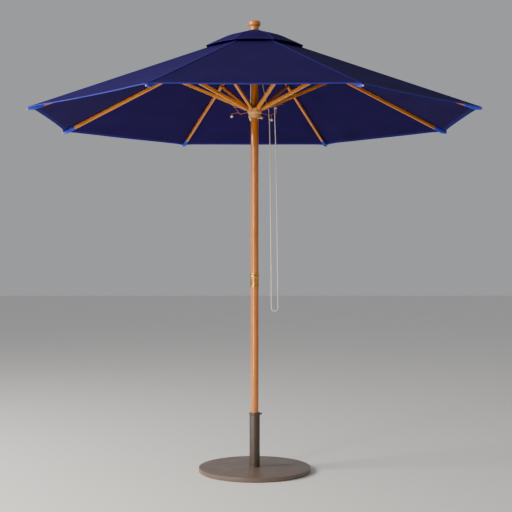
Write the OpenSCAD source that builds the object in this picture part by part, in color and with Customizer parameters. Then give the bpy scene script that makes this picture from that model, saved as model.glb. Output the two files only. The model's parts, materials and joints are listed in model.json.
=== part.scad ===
// Octagonal wooden market umbrella on a weighted disc base.
// Millimetres, +Z up, origin on the floor under the pole's axis.

/* [Canopy] */
// Width of the canopy from corner to corner
canopy_d = 2500; // [2200:10:3000]
// Height of the rib pivots in the crown
crown_z = 2409; // [2300:1:2700]
// Slope of the ribs when open, in degrees below level
slope = 21.5; // [15:0.5:28]
// Thickness of the canopy solid
fabric_t = 2; // [1:0.5:3]
// Depth of the hem's inward curve between two corners
hem_curve = 12; // [0:1:40]
// How far the rib ends pull the corners out of the hem
corner_pull = 14; // [0:1:30]
// Corner radius of the vent hole in the canopy
vent_r = 190; // [120:5:240]
// Corner radius of the vent cap
cap_r = 285; // [250:5:340]
// Corner radius at which the vent cap bends down to its rim
cap_bend_r = 150; // [110:5:200]
// Gap between the canopy and the vent cap at the cap's rim
cap_lift = 14; // [8:1:30]

/* [Ribs and struts] */
// Width of a rib
rib_w = 14; // [12:1:18]
// Height of a rib
rib_h = 18; // [14:1:18]
// Width of a strut
strut_w = 16; // [14:1:18]
// Height of a strut
strut_h = 18; // [14:1:18]
// Distance along a rib from its pivot to the strut bracket
bracket_x = 500; // [400:5:620]
// Distance of the strut's upper pivot below the rib's centreline
bracket_drop = 22; // [21:1:30]
// Sheet thickness of the strut brackets
bracket_t = 2; // [1.5:0.5:3]

/* [Crown and runner] */
// Distance from the pole to the circle of pivots in the crown and in the runner
pivot_gap = 12; // [12:0.5:16]
// Thickness of the tongues on the rib and strut ends
tongue_w = 8; // [7:0.5:9]
// Wood outside the pivots
hub_rim = 6; // [5:0.5:8]
// Diameter of the pivot pins
pivot_pin_d = 3; // [2.5:0.5:4]
// Length of the runner below its pivots
runner_drop = 45; // [35:1:60]

/* [Pole] */
// Diameter of the pole
pole_d = 44; // [38:1:48]
// Height of the joint between the two halves of the pole
joint_z = 1070; // [900:5:1085]
// Length of the lower ferrule
ferrule_h = 51; // [40:1:70]
// Height of the upper ring at the joint
ring_h = 26; // [18:1:40]
// Diameter of the spigot that joins the halves
spigot_d = 24; // [16:1:28]
// Length of the spigot in each half
spigot_len = 100; // [60:5:140]
// Diameter of the lock pin
lock_pin_d = 8; // [6:1:10]

/* [Sheave] */
// Height of the sheave's axle
sheave_z = 2340; // [2300:5:2360]
// Outer radius of the sheave
sheave_r = 17; // [15:0.5:18]
// Thickness of the sheave
sheave_w = 8; // [7:0.5:10]
// Diameter of the hoist rope
rope_d = 5.5; // [4:0.5:6]

/* [Stand] */
// Diameter of the base disc
base_d = 618; // [500:2:700]
// Height of the base disc's top above the floor
base_h = 25; // [22:1:40]
// Thickness of the steel shell over the concrete
shell_t = 1.5; // [1:0.5:3]
// Height of the rubber feet
foot_h = 5; // [4:0.5:8]
// Outer diameter of the stand tube
tube_d = 58; // [56:1:64]
// Wall of the stand tube
tube_t = 3; // [2:0.5:3]
// Height of the top of the clamp collar
collar_z = 325; // [250:5:450]
// Height of the part of the collar that stands above the tube
collar_top = 13; // [12:1:20]
// Diameter of the clamp screw
clamp_d = 8; // [6:1:8]
// Thread pitch of the clamp screw
clamp_pitch = 1.25; // [1:0.25:1.5]

/* [Finial] */
// Greatest diameter of the finial
finial_d = 68; // [60:1:80]
// Diameter of the finial's neck
neck_d = 50; // [40:1:56]
// Height of the finial
finial_h = 54; // [40:1:70]

/* [Hidden] */
$fn = 64;

COUNT = 8;
STEP = 360 / COUNT;
function rib_azimuth(k) = STEP * (k - 0.5);

// clearances
fit = 0.05;     // glued or pressed pieces
slide_gap = 0.3; // a piece that slides or turns in another
cloth_gap = 1.6; // between a rib's top and the canopy
seam_gap = 0.4;  // between neighbouring canopy sections

// canopy and ribs
rib_r = canopy_d / 2;
pivot_r = pole_d / 2 + pivot_gap;
tip_inset = 8;
rib_len = (rib_r - tip_inset - pivot_r) / cos(slope);
cloth_rise = (rib_h / 2 + cloth_gap + fabric_t) / cos(slope);
peak_z = crown_z + pivot_r * tan(slope) + cloth_rise;

// pivots of the linkage: the strut is as long as the line from crown pivot to bracket pivot
bracket_pivot_x = bracket_x * cos(slope) - bracket_drop * sin(slope);
bracket_pivot_dz = -bracket_x * sin(slope) - bracket_drop * cos(slope);
strut_len = sqrt(bracket_pivot_x * bracket_pivot_x + bracket_pivot_dz * bracket_pivot_dz);
strut_angle = atan2(-bracket_pivot_dz, bracket_pivot_x);
runner_z = crown_z + 2 * bracket_pivot_dz;
hub_r = pivot_r + hub_rim;
hub_half = 8.5;
tongue_r = 6.5;
tongue_len = 12;
slot_w = tongue_w + 0.4;
slot_r = pivot_r - tongue_r - 0.5;
pin_len = 2 * tongue_w;

// pole and its fittings
pole_r = pole_d / 2;
pole_top_z = crown_z + 15;
bore_r = pole_r + 0.8;
crown_top_z = crown_z + 28;
washer_t = 2;
washer_r = 27;
patch_gap = 1.2; // the cloth patch between washer and finial
stud_d = 8;
axle_d = 5;
mortise_w = sheave_w + 1;
mortise_h = 2 * sheave_r + 26;
sheave_az = 45;
lock_az = -45;
lock_z = runner_z - runner_drop - slide_gap - lock_pin_d / 2;
lock_head_d = 14;
lock_head_len = 13;
lock_reach = pole_r + 12;
lock_head_r = pivot_r + 14;
rope_hole_r = pivot_r - 2.5;
rope_hole_d = rope_d + 1;

// vent cap: from its hole over the washer to its bend, and from there to its rim
cap_inner_r = 30;
cap_inner_z = crown_top_z + 1;
cap_rim_z = peak_z - cap_r * tan(slope) + cap_lift;
cap_rim_slope = slope + 5;
cap_bend_z = cap_rim_z + (cap_r - cap_bend_r) * tan(cap_rim_slope);

// stand
base_r = base_d / 2;
tube_r = max(tube_d / 2, pole_r + tube_t + 4);
tube_in = tube_r - tube_t;
foot_r = 15;
foot_circle = 0.8 * base_r;
FEET = 6;
shell_gap = 3;
web_t = 8;
bolt_d = 12;
bolt_head_r = 10.4;
bolt_head_h = 7.5;
collar_r = tube_r + 1.2;
tube_top = collar_z - collar_top;
skirt_h = 3;
sleeve_floor_z = base_h + web_t + 9.5;
sleeve_floor_t = 4;
screw_z = collar_z - collar_top / 2;
knob_r = 7;
knob_len = 7;
screw_start = pole_r + 0.15;
screw_end = collar_r + 2.8 + knob_len;

// polar placing
module at_rib(k) {
    rotate([0, 0, rib_azimuth(k)]) children();
}

module rib_frame(k) {
    at_rib(k) translate([pivot_r, 0, crown_z]) rotate([0, slope, 0]) children();
}

module strut_frame(k) {
    at_rib(k) translate([pivot_r + bracket_pivot_x, 0, crown_z + bracket_pivot_dz])
        rotate([0, 180 - strut_angle, 0]) children();
}

module tube(r, inner, h) {
    difference() {
        cylinder(r = r, h = h);
        translate([0, 0, -1]) cylinder(r = inner, h = h + 2);
    }
}

// a cross pin along Y, centred
module cross_pin(d, len) {
    rotate([90, 0, 0]) cylinder(d = d, h = len, center = true);
}

// ---- stand ----
module base_shell() {
    color([0.34, 0.31, 0.29]) difference() {
        translate([0, 0, shell_gap]) rotate_extrude($fn = 128)
            polygon([[0, 0], [base_r, 0], [base_r, base_h - shell_gap - 1],
                [base_r - 1, base_h - shell_gap], [0, base_h - shell_gap]]);
        translate([0, 0, shell_gap - 1])
            cylinder(r = base_r - shell_t, h = base_h - shell_gap - shell_t + 1, $fn = 128);
        cylinder(d = bolt_d + 1, h = base_h + 1);
    }
}

module base_core() {
    color([0.6, 0.59, 0.57]) difference() {
        translate([0, 0, foot_h])
            cylinder(r = base_r - shell_t - fit, h = base_h - shell_t - foot_h, $fn = 128);
        cylinder(d = bolt_d + 1, h = base_h);
        cylinder(r = bolt_head_r + 4, h = foot_h + bolt_head_h + 3);
    }
}

module base_feet() {
    color([0.1, 0.1, 0.1]) for (i = [0 : FEET - 1])
        rotate([0, 0, i * 360 / FEET]) translate([foot_circle, 0, 0])
            rotate_extrude($fn = 32)
                polygon([[0, 0], [foot_r - 1, 0], [foot_r, 1], [foot_r, foot_h], [0, foot_h]]);
}

module stand_tube() {
    color([0.36, 0.32, 0.29]) difference() {
        translate([0, 0, base_h]) cylinder(r = tube_r, h = tube_top - base_h);
        translate([0, 0, base_h + web_t]) cylinder(r = tube_in, h = tube_top);
        cylinder(d = bolt_d + 0.6, h = base_h + web_t + 1);
    }
}

module stand_bolt() {
    head_z = foot_h + 1;
    washer_z = head_z + bolt_head_h;
    nut_h = 9;
    color([0.7, 0.7, 0.72]) {
        translate([0, 0, head_z]) cylinder(r = bolt_head_r, h = bolt_head_h, $fn = 6);
        translate([0, 0, washer_z]) cylinder(d = bolt_d, h = base_h + web_t + nut_h - washer_z);
        translate([0, 0, washer_z])
            tube(bolt_head_r + 2, bolt_d / 2 + fit, foot_h + bolt_head_h + 3 - washer_z);
        translate([0, 0, base_h + web_t]) difference() {
            cylinder(r = bolt_head_r, h = nut_h, $fn = 6);
            translate([0, 0, -1]) cylinder(d = bolt_d + 2 * fit, h = nut_h + 2);
        }
    }
}

module clamp_collar() {
    color([0.16, 0.15, 0.14]) difference() {
        rotate_extrude()
            polygon([[tube_r + fit, tube_top - skirt_h], [collar_r, tube_top - skirt_h],
                [collar_r, collar_z - 1.5], [collar_r - 1.5, collar_z], [bore_r, collar_z],
                [bore_r, tube_top], [tube_r + fit, tube_top]]);
        translate([0, 0, screw_z]) rotate([0, 90, 0]) cylinder(d = clamp_d + 0.2, h = collar_r + 2);
    }
}

module clamp_screw() {
    color([0.72, 0.72, 0.74]) translate([screw_start, 0, screw_z]) rotate([0, 90, 0])
        cylinder(d = clamp_d, h = screw_end - 1 - fit - screw_start);
}

module clamp_knob() {
    color([0.14, 0.13, 0.12]) translate([screw_end - knob_len, 0, screw_z]) rotate([0, 90, 0])
        difference() {
            union() {
                cylinder(r = knob_r - 1, h = knob_len);
                for (a = [0 : 60 : 300])
                    rotate([0, 0, a]) translate([knob_r - 2, 0, 0]) cylinder(r = 2, h = knob_len, $fn = 24);
            }
            translate([0, 0, -1]) cylinder(d = clamp_d + 2 * fit, h = knob_len);
        }
}

module pole_sleeve() {
    color([0.12, 0.12, 0.12]) difference() {
        translate([0, 0, sleeve_floor_z])
            cylinder(r = tube_in - slide_gap, h = tube_top - slide_gap - sleeve_floor_z);
        translate([0, 0, sleeve_floor_z + sleeve_floor_t]) cylinder(r = pole_r + slide_gap, h = tube_top);
    }
}

// ---- pole ----
module lower_pole() {
    bottom = sleeve_floor_z + sleeve_floor_t + 0.2;
    color([0.82, 0.5, 0.2]) difference() {
        translate([0, 0, bottom]) cylinder(r = pole_r, h = joint_z - 1 - bottom);
        translate([0, 0, joint_z - spigot_len - 5])
            cylinder(d = spigot_d + 2 * slide_gap, h = spigot_len + 10);
    }
}

module lower_ferrule() {
    color([0.86, 0.62, 0.3]) rotate_extrude()
        polygon([[pole_r + fit, joint_z - ferrule_h], [pole_r + 1, joint_z - ferrule_h],
            [pole_r + 2, joint_z - ferrule_h + 1], [pole_r + 2, joint_z - 1],
            [pole_r + fit, joint_z - 1]]);
}

module upper_pole() {
    color([0.82, 0.5, 0.2]) difference() {
        translate([0, 0, joint_z + 1]) cylinder(r = pole_r, h = pole_top_z - joint_z - 1);
        translate([0, 0, joint_z]) cylinder(d = spigot_d + 2 * fit, h = spigot_len + 1);
        translate([0, 0, sheave_z]) rotate([0, 0, sheave_az])
            cube([pole_d + 2, mortise_w, mortise_h], center = true);
        translate([0, 0, sheave_z]) rotate([0, 0, sheave_az]) cross_pin(axle_d + 2 * fit, pole_d + 2);
        translate([0, 0, lock_z]) rotate([0, 0, lock_az + 90]) cross_pin(lock_pin_d + 2 * slide_gap, pole_d + 2);
        translate([0, 0, pole_top_z - 25]) cylinder(d = stud_d + 2 * fit, h = 30);
    }
}

module upper_ring() {
    color([0.86, 0.6, 0.28]) rotate_extrude()
        difference() {
            union() {
                translate([pole_r + fit, joint_z + 1]) square([2, ring_h - 1]);
                translate([pole_r + fit, joint_z + 1 + ring_h / 3]) circle(r = 3, $fn = 32);
            }
            translate([pole_r - 20 + fit, joint_z - 5]) square([20, ring_h + 20]);
        }
}

module spigot() {
    color([0.75, 0.75, 0.77]) translate([0, 0, joint_z + 1 - spigot_len])
        cylinder(d = spigot_d, h = 2 * spigot_len - 1);
}

module crown() {
    color([0.85, 0.55, 0.24]) difference() {
        rotate_extrude()
            polygon([[0, crown_z - hub_half], [hub_r - 1.5, crown_z - hub_half],
                [hub_r, crown_z - hub_half + 1.5], [hub_r, crown_z + hub_half - 1.5],
                [hub_r - 1.5, crown_z + hub_half], [washer_r, crown_z + hub_half],
                [washer_r - 1, crown_top_z], [0, crown_top_z]]);
        translate([0, 0, crown_z - 20]) cylinder(r = pole_r + fit, h = pole_top_z + fit - crown_z + 20);
        cylinder(d = stud_d + 2 * fit, h = crown_top_z + 1);
        hub_cuts(crown_z);
    }
}

// the slots for the tongues and the holes for their pins
module hub_cuts(z) {
    for (k = [1 : COUNT]) at_rib(k) {
        translate([slot_r, -slot_w / 2, z - hub_half - 1]) cube([hub_r, slot_w, 2 * hub_half + 2]);
        translate([pivot_r, 0, z]) cross_pin(pivot_pin_d + 2 * fit, pin_len + 2 * fit);
    }
}

module hub_pins(z) {
    color([0.75, 0.75, 0.77]) for (k = [1 : COUNT]) at_rib(k)
        translate([pivot_r, 0, z]) cross_pin(pivot_pin_d, pin_len);
}

module finial_stud() {
    bottom = pole_top_z - 24;
    color([0.75, 0.75, 0.77]) translate([0, 0, bottom])
        cylinder(d = stud_d, h = crown_top_z + washer_t + 25 - bottom);
}

module sheave_axle() {
    color([0.75, 0.75, 0.77]) translate([0, 0, sheave_z]) rotate([0, 0, sheave_az])
        cross_pin(axle_d, pole_d - 6);
}

module cap_washer() {
    color([0.75, 0.75, 0.77]) translate([0, 0, crown_top_z]) tube(washer_r, stud_d / 2 + 0.5, washer_t);
}

module finial() {
    r = finial_d / 2;
    n = neck_d / 2;
    z0 = crown_top_z + washer_t + patch_gap;
    color([0.87, 0.56, 0.24]) {
        translate([0, 0, z0]) rotate_extrude() difference() {
            polygon([[0, 0], [n - 3, 0], [n - 2, 1], [n, finial_h * 0.4], [r - 3, finial_h * 0.54],
                [r, finial_h * 0.64], [r, finial_h * 0.84], [r - 3, finial_h * 0.96],
                [r - 8, finial_h], [0, finial_h]]);
            square([stud_d / 2 + slide_gap, 26]);
        }
        translate([-r - 12, 0, z0 + finial_h * 0.6]) rotate([0, 90, 0]) cylinder(d = 9, h = 24, $fn = 32);
    }
}

module sheave() {
    groove = rope_d / 2 + 0.4;
    color([0.8, 0.66, 0.4]) translate([0, 0, sheave_z]) rotate([0, 0, sheave_az]) rotate([90, 0, 0])
        rotate_extrude() difference() {
            translate([axle_d / 2 + 0.15, -sheave_w / 2]) square([sheave_r - axle_d / 2 - 0.15, sheave_w]);
            translate([sheave_r + 0.4, 0]) circle(r = groove, $fn = 32);
        }
}

module lock_pin() {
    color([0.8, 0.6, 0.4]) rotate([0, 0, lock_az]) translate([0, 0, lock_z]) rotate([0, 90, 0]) {
        translate([0, 0, -lock_reach]) cylinder(d = lock_pin_d, h = lock_reach + lock_head_r, $fn = 32);
        translate([0, 0, lock_head_r]) rotate_extrude($fn = 32)
            polygon([[0, 0], [lock_head_d / 2 - 2, 0], [lock_head_d / 2, 3],
                [lock_head_d / 2, lock_head_len - 2], [lock_head_d / 2 - 2, lock_head_len],
                [0, lock_head_len]]);
    }
}

// ---- ribs and struts ----
module rib(k) {
    color([0.83, 0.52, 0.22]) rib_frame(k) difference() {
        union() {
            cross_pin(2 * tongue_r, tongue_w);
            translate([0, -tongue_w / 2, -tongue_r]) cube([tongue_len + 1, tongue_w, 2 * tongue_r]);
            translate([tongue_len, -rib_w / 2, -rib_h / 2]) cube([rib_len - tongue_len - 20, rib_w, rib_h]);
            translate([rib_len - 21, 0, rib_h / 2 - 8]) rotate([0, 90, 0]) cylinder(d = 8, h = 21, $fn = 32);
        }
        cross_pin(pivot_pin_d + slide_gap, tongue_w + 2);
        translate([bracket_x, 0, 0]) cross_pin(4 + 2 * fit, rib_w + 2);
    }
}

// two cheeks on the rib's sides, joined by the rib's rivet above and the strut's pin below
module bracket(k) {
    cheek_r = 7;
    color([0.78, 0.66, 0.4]) rib_frame(k) translate([bracket_x, 0, 0]) {
        for (s = [-1, 1]) translate([0, s * (rib_w / 2 + fit + bracket_t / 2), 0]) difference() {
            union() {
                cross_pin(2 * cheek_r, bracket_t);
                translate([0, 0, -bracket_drop]) cross_pin(2 * cheek_r, bracket_t);
                translate([-cheek_r, -bracket_t / 2, -bracket_drop])
                    cube([2 * cheek_r, bracket_t, bracket_drop]);
            }
            cross_pin(4 + 2 * fit, bracket_t + 2);
            translate([0, 0, -bracket_drop]) cross_pin(4 + 2 * fit, bracket_t + 2);
        }
        for (z = [0, -bracket_drop]) translate([0, 0, z]) {
            cross_pin(4, rib_w + 2 * bracket_t + 2 * fit + 2);
            for (s = [-1, 1])
                translate([0, s * (rib_w / 2 + fit + bracket_t + 0.75), 0]) cross_pin(7, 1.5);
        }
    }
}

module strut(k) {
    end_w = rib_w - 0.4;
    end_r = 8;
    end_len = 14;
    color([0.8, 0.48, 0.18]) strut_frame(k) difference() {
        union() {
            cross_pin(2 * end_r, end_w);
            translate([0, -end_w / 2, -end_r]) cube([end_len + 1, end_w, 2 * end_r]);
            translate([end_len, -strut_w / 2, -strut_h / 2])
                cube([strut_len - end_len - tongue_len, strut_w, strut_h]);
            translate([strut_len - tongue_len - 1, -tongue_w / 2, -tongue_r])
                cube([tongue_len + 1, tongue_w, 2 * tongue_r]);
            translate([strut_len, 0, 0]) cross_pin(2 * tongue_r, tongue_w);
        }
        cross_pin(4 + slide_gap, end_w + 2);
        translate([strut_len, 0, 0]) cross_pin(pivot_pin_d + slide_gap, tongue_w + 2);
    }
}

// ---- canopy ----
// half of a section's outline from the ridge to the seam, in plan: x along the ridge, y across it
HEM_STEPS = [0, 0.04, 0.09, 0.16, 0.3, 0.5, 0.75];
function mid(r) = [r * pow(cos(STEP / 2), 2), r * cos(STEP / 2) * sin(STEP / 2)];
function inward(p, d) = [p[0] - d * cos(STEP / 2), p[1] - d * sin(STEP / 2)];
function seam_side(p) = [p[0] + seam_gap / 2 * sin(STEP / 2), p[1] - seam_gap / 2 * cos(STEP / 2)];
function hem_point(r, curve, pull, u) =
    inward([r, 0] + u * (mid(r) - [r, 0]), curve * (1 - pow(1 - u, 2)) + pull * (1 - pow(1 - u, 12)));

// a sheet in the shape of a shallow roof, flat on each side of the ridge between one station and
// the next; a station is [distance along the ridge, height of the ridge]
module roof_sheet(stations, curve, pull) {
    m = len(stations);
    h = len(HEM_STEPS);
    last = stations[m - 1];
    fall = (stations[m - 2][1] - last[1]) / (last[0] - stations[m - 2][0]);
    hem = [for (u = HEM_STEPS) hem_point(last[0], curve, pull, u)];
    corner = seam_side(hem_point(last[0], curve, pull, 1));
    // inner stations first, three points each: ridge, right seam, left seam; then the rim
    inner = [for (i = [0 : m - 2]) let (r = stations[i][0], z = stations[i][1], p = seam_side(mid(r)))
        each [[r, 0, z], [p[0], p[1], z], [p[0], -p[1], z]]];
    rim_z = function (p) last[1] + (last[0] - p[0] - abs(p[1]) * tan(STEP / 2)) * fall;
    right = [for (p = concat(hem, [corner])) [p[0], p[1], rim_z(p)]];
    left = [for (i = [1 : h]) [right[i][0], -right[i][1], right[i][2]]];
    top = concat(inner, right, left);
    n = len(top);
    low = [for (p = top) p - [0, 0, fabric_t / cos(slope)]];
    k = 3 * (m - 1);
    right_rim = [for (i = [0 : h]) k + i];
    left_rim = concat([k], [for (i = [1 : h]) k + h + i]);
    tops = concat(
        [for (i = [0 : 1 : m - 3]) each [
            [3 * i + 1, 3 * i + 4, 3 * i + 3, 3 * i], [3 * i, 3 * i + 3, 3 * i + 5, 3 * i + 2]]],
        [concat([k - 2], [for (i = [h : -1 : 0]) right_rim[i]], [k - 3]),
         concat([k - 3], left_rim, [k - 1])]
    );
    edge = concat([0], [for (i = [0 : m - 2]) 3 * i + 2], [for (i = [h : -1 : 1]) left_rim[i]],
        right_rim, [for (i = [m - 2 : -1 : 0]) 3 * i + 1]);
    polyhedron(
        points = concat(top, low),
        faces = concat(
            tops,
            [for (f = tops) [for (i = [len(f) - 1 : -1 : 0]) f[i] + n]],
            [for (j = [0 : len(edge) - 1])
                let (a = edge[j], b = edge[(j + 1) % len(edge)]) [a, b, b + n, a + n]]
        )
    );
}

module canopy(k) {
    color([0.13, 0.12, 0.3]) at_rib(k) {
        roof_sheet([[vent_r, peak_z - vent_r * tan(slope)], [rib_r, peak_z - rib_r * tan(slope)]],
            hem_curve, corner_pull);
        roof_sheet([[cap_inner_r, cap_inner_z], [cap_bend_r, cap_bend_z], [cap_r, cap_rim_z]], 3, 0);
    }
}

// ---- runner ----
module runner() {
    low = runner_z - runner_drop;
    color([0.88, 0.68, 0.46]) difference() {
        rotate_extrude()
            polygon([[bore_r, low], [pivot_r - 1, low], [pivot_r, low + 1],
                [pivot_r, low + runner_drop / 2], [hub_r, low + runner_drop / 2 + 5],
                [hub_r, runner_z + hub_half - 1.5], [hub_r - 1.5, runner_z + hub_half],
                [bore_r, runner_z + hub_half]]);
        hub_cuts(runner_z);
        rotate([0, 0, 180 + sheave_az]) translate([rope_hole_r, 0, low - 1])
            cylinder(d = rope_hole_d, h = runner_drop + hub_half + 5, $fn = 32);
        for (a = [sheave_az, 180]) rotate([0, 0, a]) translate([wire_root - fit, 0, wire_z])
            rotate([0, 90, 0]) cylinder(d = wire_d + 2 * fit, h = hub_r, $fn = 32);
    }
}

// ---- bent wires on the runner, and the rope ----
function unit(v) = v / norm(v);
function turned(v, axis, a) =
    v * cos(a) + cross(axis, v) * sin(a) + axis * (axis * v) * (1 - cos(a));

// frame carried along a path without twist
function carry(v, a, b) =
    let (c = cross(a, b), s = norm(c)) s < 0.00001 ? v : turned(v, c / s, asin(min(1, s)));
function directions(path) = [for (i = [0 : len(path) - 1])
    unit(path[min(i + 1, len(path) - 1)] - path[max(i - 1, 0)])];
function sides(dirs, i, v) = i == len(dirs) ? [] :
    let (w = i == 0 ? v : carry(v, dirs[i - 1], dirs[i])) concat([w], sides(dirs, i + 1, w));

module sweep(path, d, n) {
    dirs = directions(path);
    start = abs(dirs[0][2]) > 0.9 ? [1, 0, 0] : [0, 0, 1];
    first = unit(cross(dirs[0], start));
    side = sides(dirs, 0, first);
    m = len(path);
    points = [for (i = [0 : m - 1]) for (j = [0 : n - 1])
        path[i] + d / 2 * (side[i] * cos(j * 360 / n) + cross(dirs[i], side[i]) * sin(j * 360 / n))];
    faces = concat(
        [[for (j = [0 : n - 1]) j]],
        [[for (j = [n - 1 : -1 : 0]) (m - 1) * n + j]],
        [for (i = [0 : m - 2]) for (j = [0 : n - 1])
            [i * n + (j + 1) % n, i * n + j, (i + 1) * n + j, (i + 1) * n + (j + 1) % n]]
    );
    polyhedron(points = points, faces = faces);
}

// points on an arc about a centre, from one direction turned towards another
function arc(centre, from, to, r, a, steps) =
    [for (i = [0 : steps]) centre + r * (from * cos(a * i / steps) + to * sin(a * i / steps))];

wire_d = 3;
wire_z = runner_z - 14.5;
bead_d = 16;
bead_hole = rope_d + 0.6;
OUT = [cos(sheave_az), sin(sheave_az), 0];
UP = [0, 0, 1];
EYE = [80, 80, 1985];
END_EYE = [113, 80, 1994];
LEFT_BEAD = [-127, 0, 1966];
LOW_BEAD = [95, 80, 1958];
eye_r = rope_d / 2 + 3.5;
wire_root = hub_r - 6;

function ring_path(centre, r, steps) = arc(centre, [1, 0, 0], [0, 1, 0], r, 360 - 20, steps);

module runner_wires() {
    color([0.45, 0.3, 0.18]) {
        // the guide arm with its two eyes, and the hook that holds the rope's end
        sweep([OUT * wire_root + UP * wire_z, OUT * (hub_r + 3) + UP * wire_z, OUT * 60 + UP * 1988,
            OUT * 85 + UP * 1987, EYE - OUT * eye_r], wire_d, 8);
        sweep(ring_path(EYE, eye_r, 16), wire_d, 8);
        sweep([EYE + [eye_r, 0, 0], EYE + [eye_r + 6, 0, 3], END_EYE + [-eye_r - 6, 0, -3],
            END_EYE - [eye_r, 0, 0]], wire_d, 8);
        sweep(ring_path(END_EYE, eye_r, 16), wire_d, 8);
        sweep([END_EYE + [eye_r, 0, 0], [121, 80, 2001], [122, 80, 2018], [129, 80, 2035], [142, 80, 2044],
            [158, 80, 2047]], wire_d, 8);
        // the stem of the bead between the eyes
        sweep([EYE + [eye_r + 6, 0, 3], [95, 80, 1985], [95, 80, 1975], LOW_BEAD], wire_d, 8);
        // the arm and hook on the left, with the stem of its bead
        sweep([[-wire_root, 0, wire_z], [-hub_r - 3, 0, wire_z], [-62, 0, 1982], [-78, 0, 1979],
            [-88, 0, 1986], [-97, 0, 2000], [-113, 0, 2018], [-134, 0, 2034], [-161, 0, 2045]], wire_d, 8);
        sweep([[-88, 0, 1986], [-100, 0, 1985], [-114, 0, 1983.5], [-123, 0, 1981], [-127, 0, 1976], LEFT_BEAD],
            wire_d, 8);
    }
}

module bead(hole) {
    rotate_extrude($fn = 32) difference() {
        circle(d = bead_d, $fn = 32);
        translate([-bead_d, -bead_d]) square([bead_d + hole / 2, 2 * bead_d]);
    }
}

module rope_beads() {
    color([0.9, 0.86, 0.72]) {
        for (p = [LOW_BEAD, LEFT_BEAD]) translate(p) bead(wire_d + 0.6);
        rotate([0, 0, 180 + sheave_az])
            translate([rope_hole_r, 0, runner_z - runner_drop - bead_d / 2 - 0.3]) bead(bead_hole);
    }
}

rope_r = sheave_r + 0.2;
rope_mouth_r = pole_r + 3.6; // where the rope passes the edge of the pole's mortise
ROPE = concat(
    [OUT * -rope_hole_r + UP * 1936, OUT * -rope_hole_r + UP * 2020, OUT * -28 + UP * 2230,
        OUT * -rope_mouth_r + UP * (sheave_z - 31)],
    [for (i = [1 : 11]) UP * sheave_z + rope_r * (-OUT * cos(i * 15) + UP * sin(i * 15))],
    [OUT * rope_mouth_r + UP * (sheave_z - 31), OUT * 33 + UP * 2270, OUT * 58 + UP * 2170,
        OUT * 95 + UP * 2045, [79, 79, 2008], EYE, [82, 80, 1960], [85, 80, 1850], [89, 80, 1500],
        [93, 80, 1100], [95, 80, 900]],
    arc([113, 80, 900], [-1, 0, 0], [0, 0, -1], 18, 165, 8),
    [[131, 80, 920], [129, 80, 1100], [124, 80, 1500], [117, 80, 1850], [113, 80, 1960], END_EYE,
        [113, 80, 2022]]
);

module hoist_rope() {
    color([0.8, 0.76, 0.78]) sweep(ROPE, rope_d, 8);
}

base_shell();
base_core();
base_feet();
stand_tube();
stand_bolt();
clamp_collar();
clamp_screw();
clamp_knob();
pole_sleeve();
lower_pole();
lower_ferrule();
upper_pole();
upper_ring();
spigot();
crown();
hub_pins(crown_z);  // crown_pins
finial_stud();
sheave_axle();
cap_washer();
finial();
sheave();
lock_pin();
for (k = [1 : COUNT]) {
    rib(k);
    bracket(k);
    strut(k);
    canopy(k);
}
runner();
hub_pins(runner_z);  // runner_pins
runner_wires();
rope_beads();
hoist_rope();
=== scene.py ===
"""The looks of an octagonal wooden market umbrella on a weighted disc stand.

Metres, +Z up, the origin on the floor under the pole's axis, the viewer on the -Y side.
Ribs are numbered from azimuth 22.5 degrees, every 45 degrees.
"""

import json
import math
import random

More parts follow.
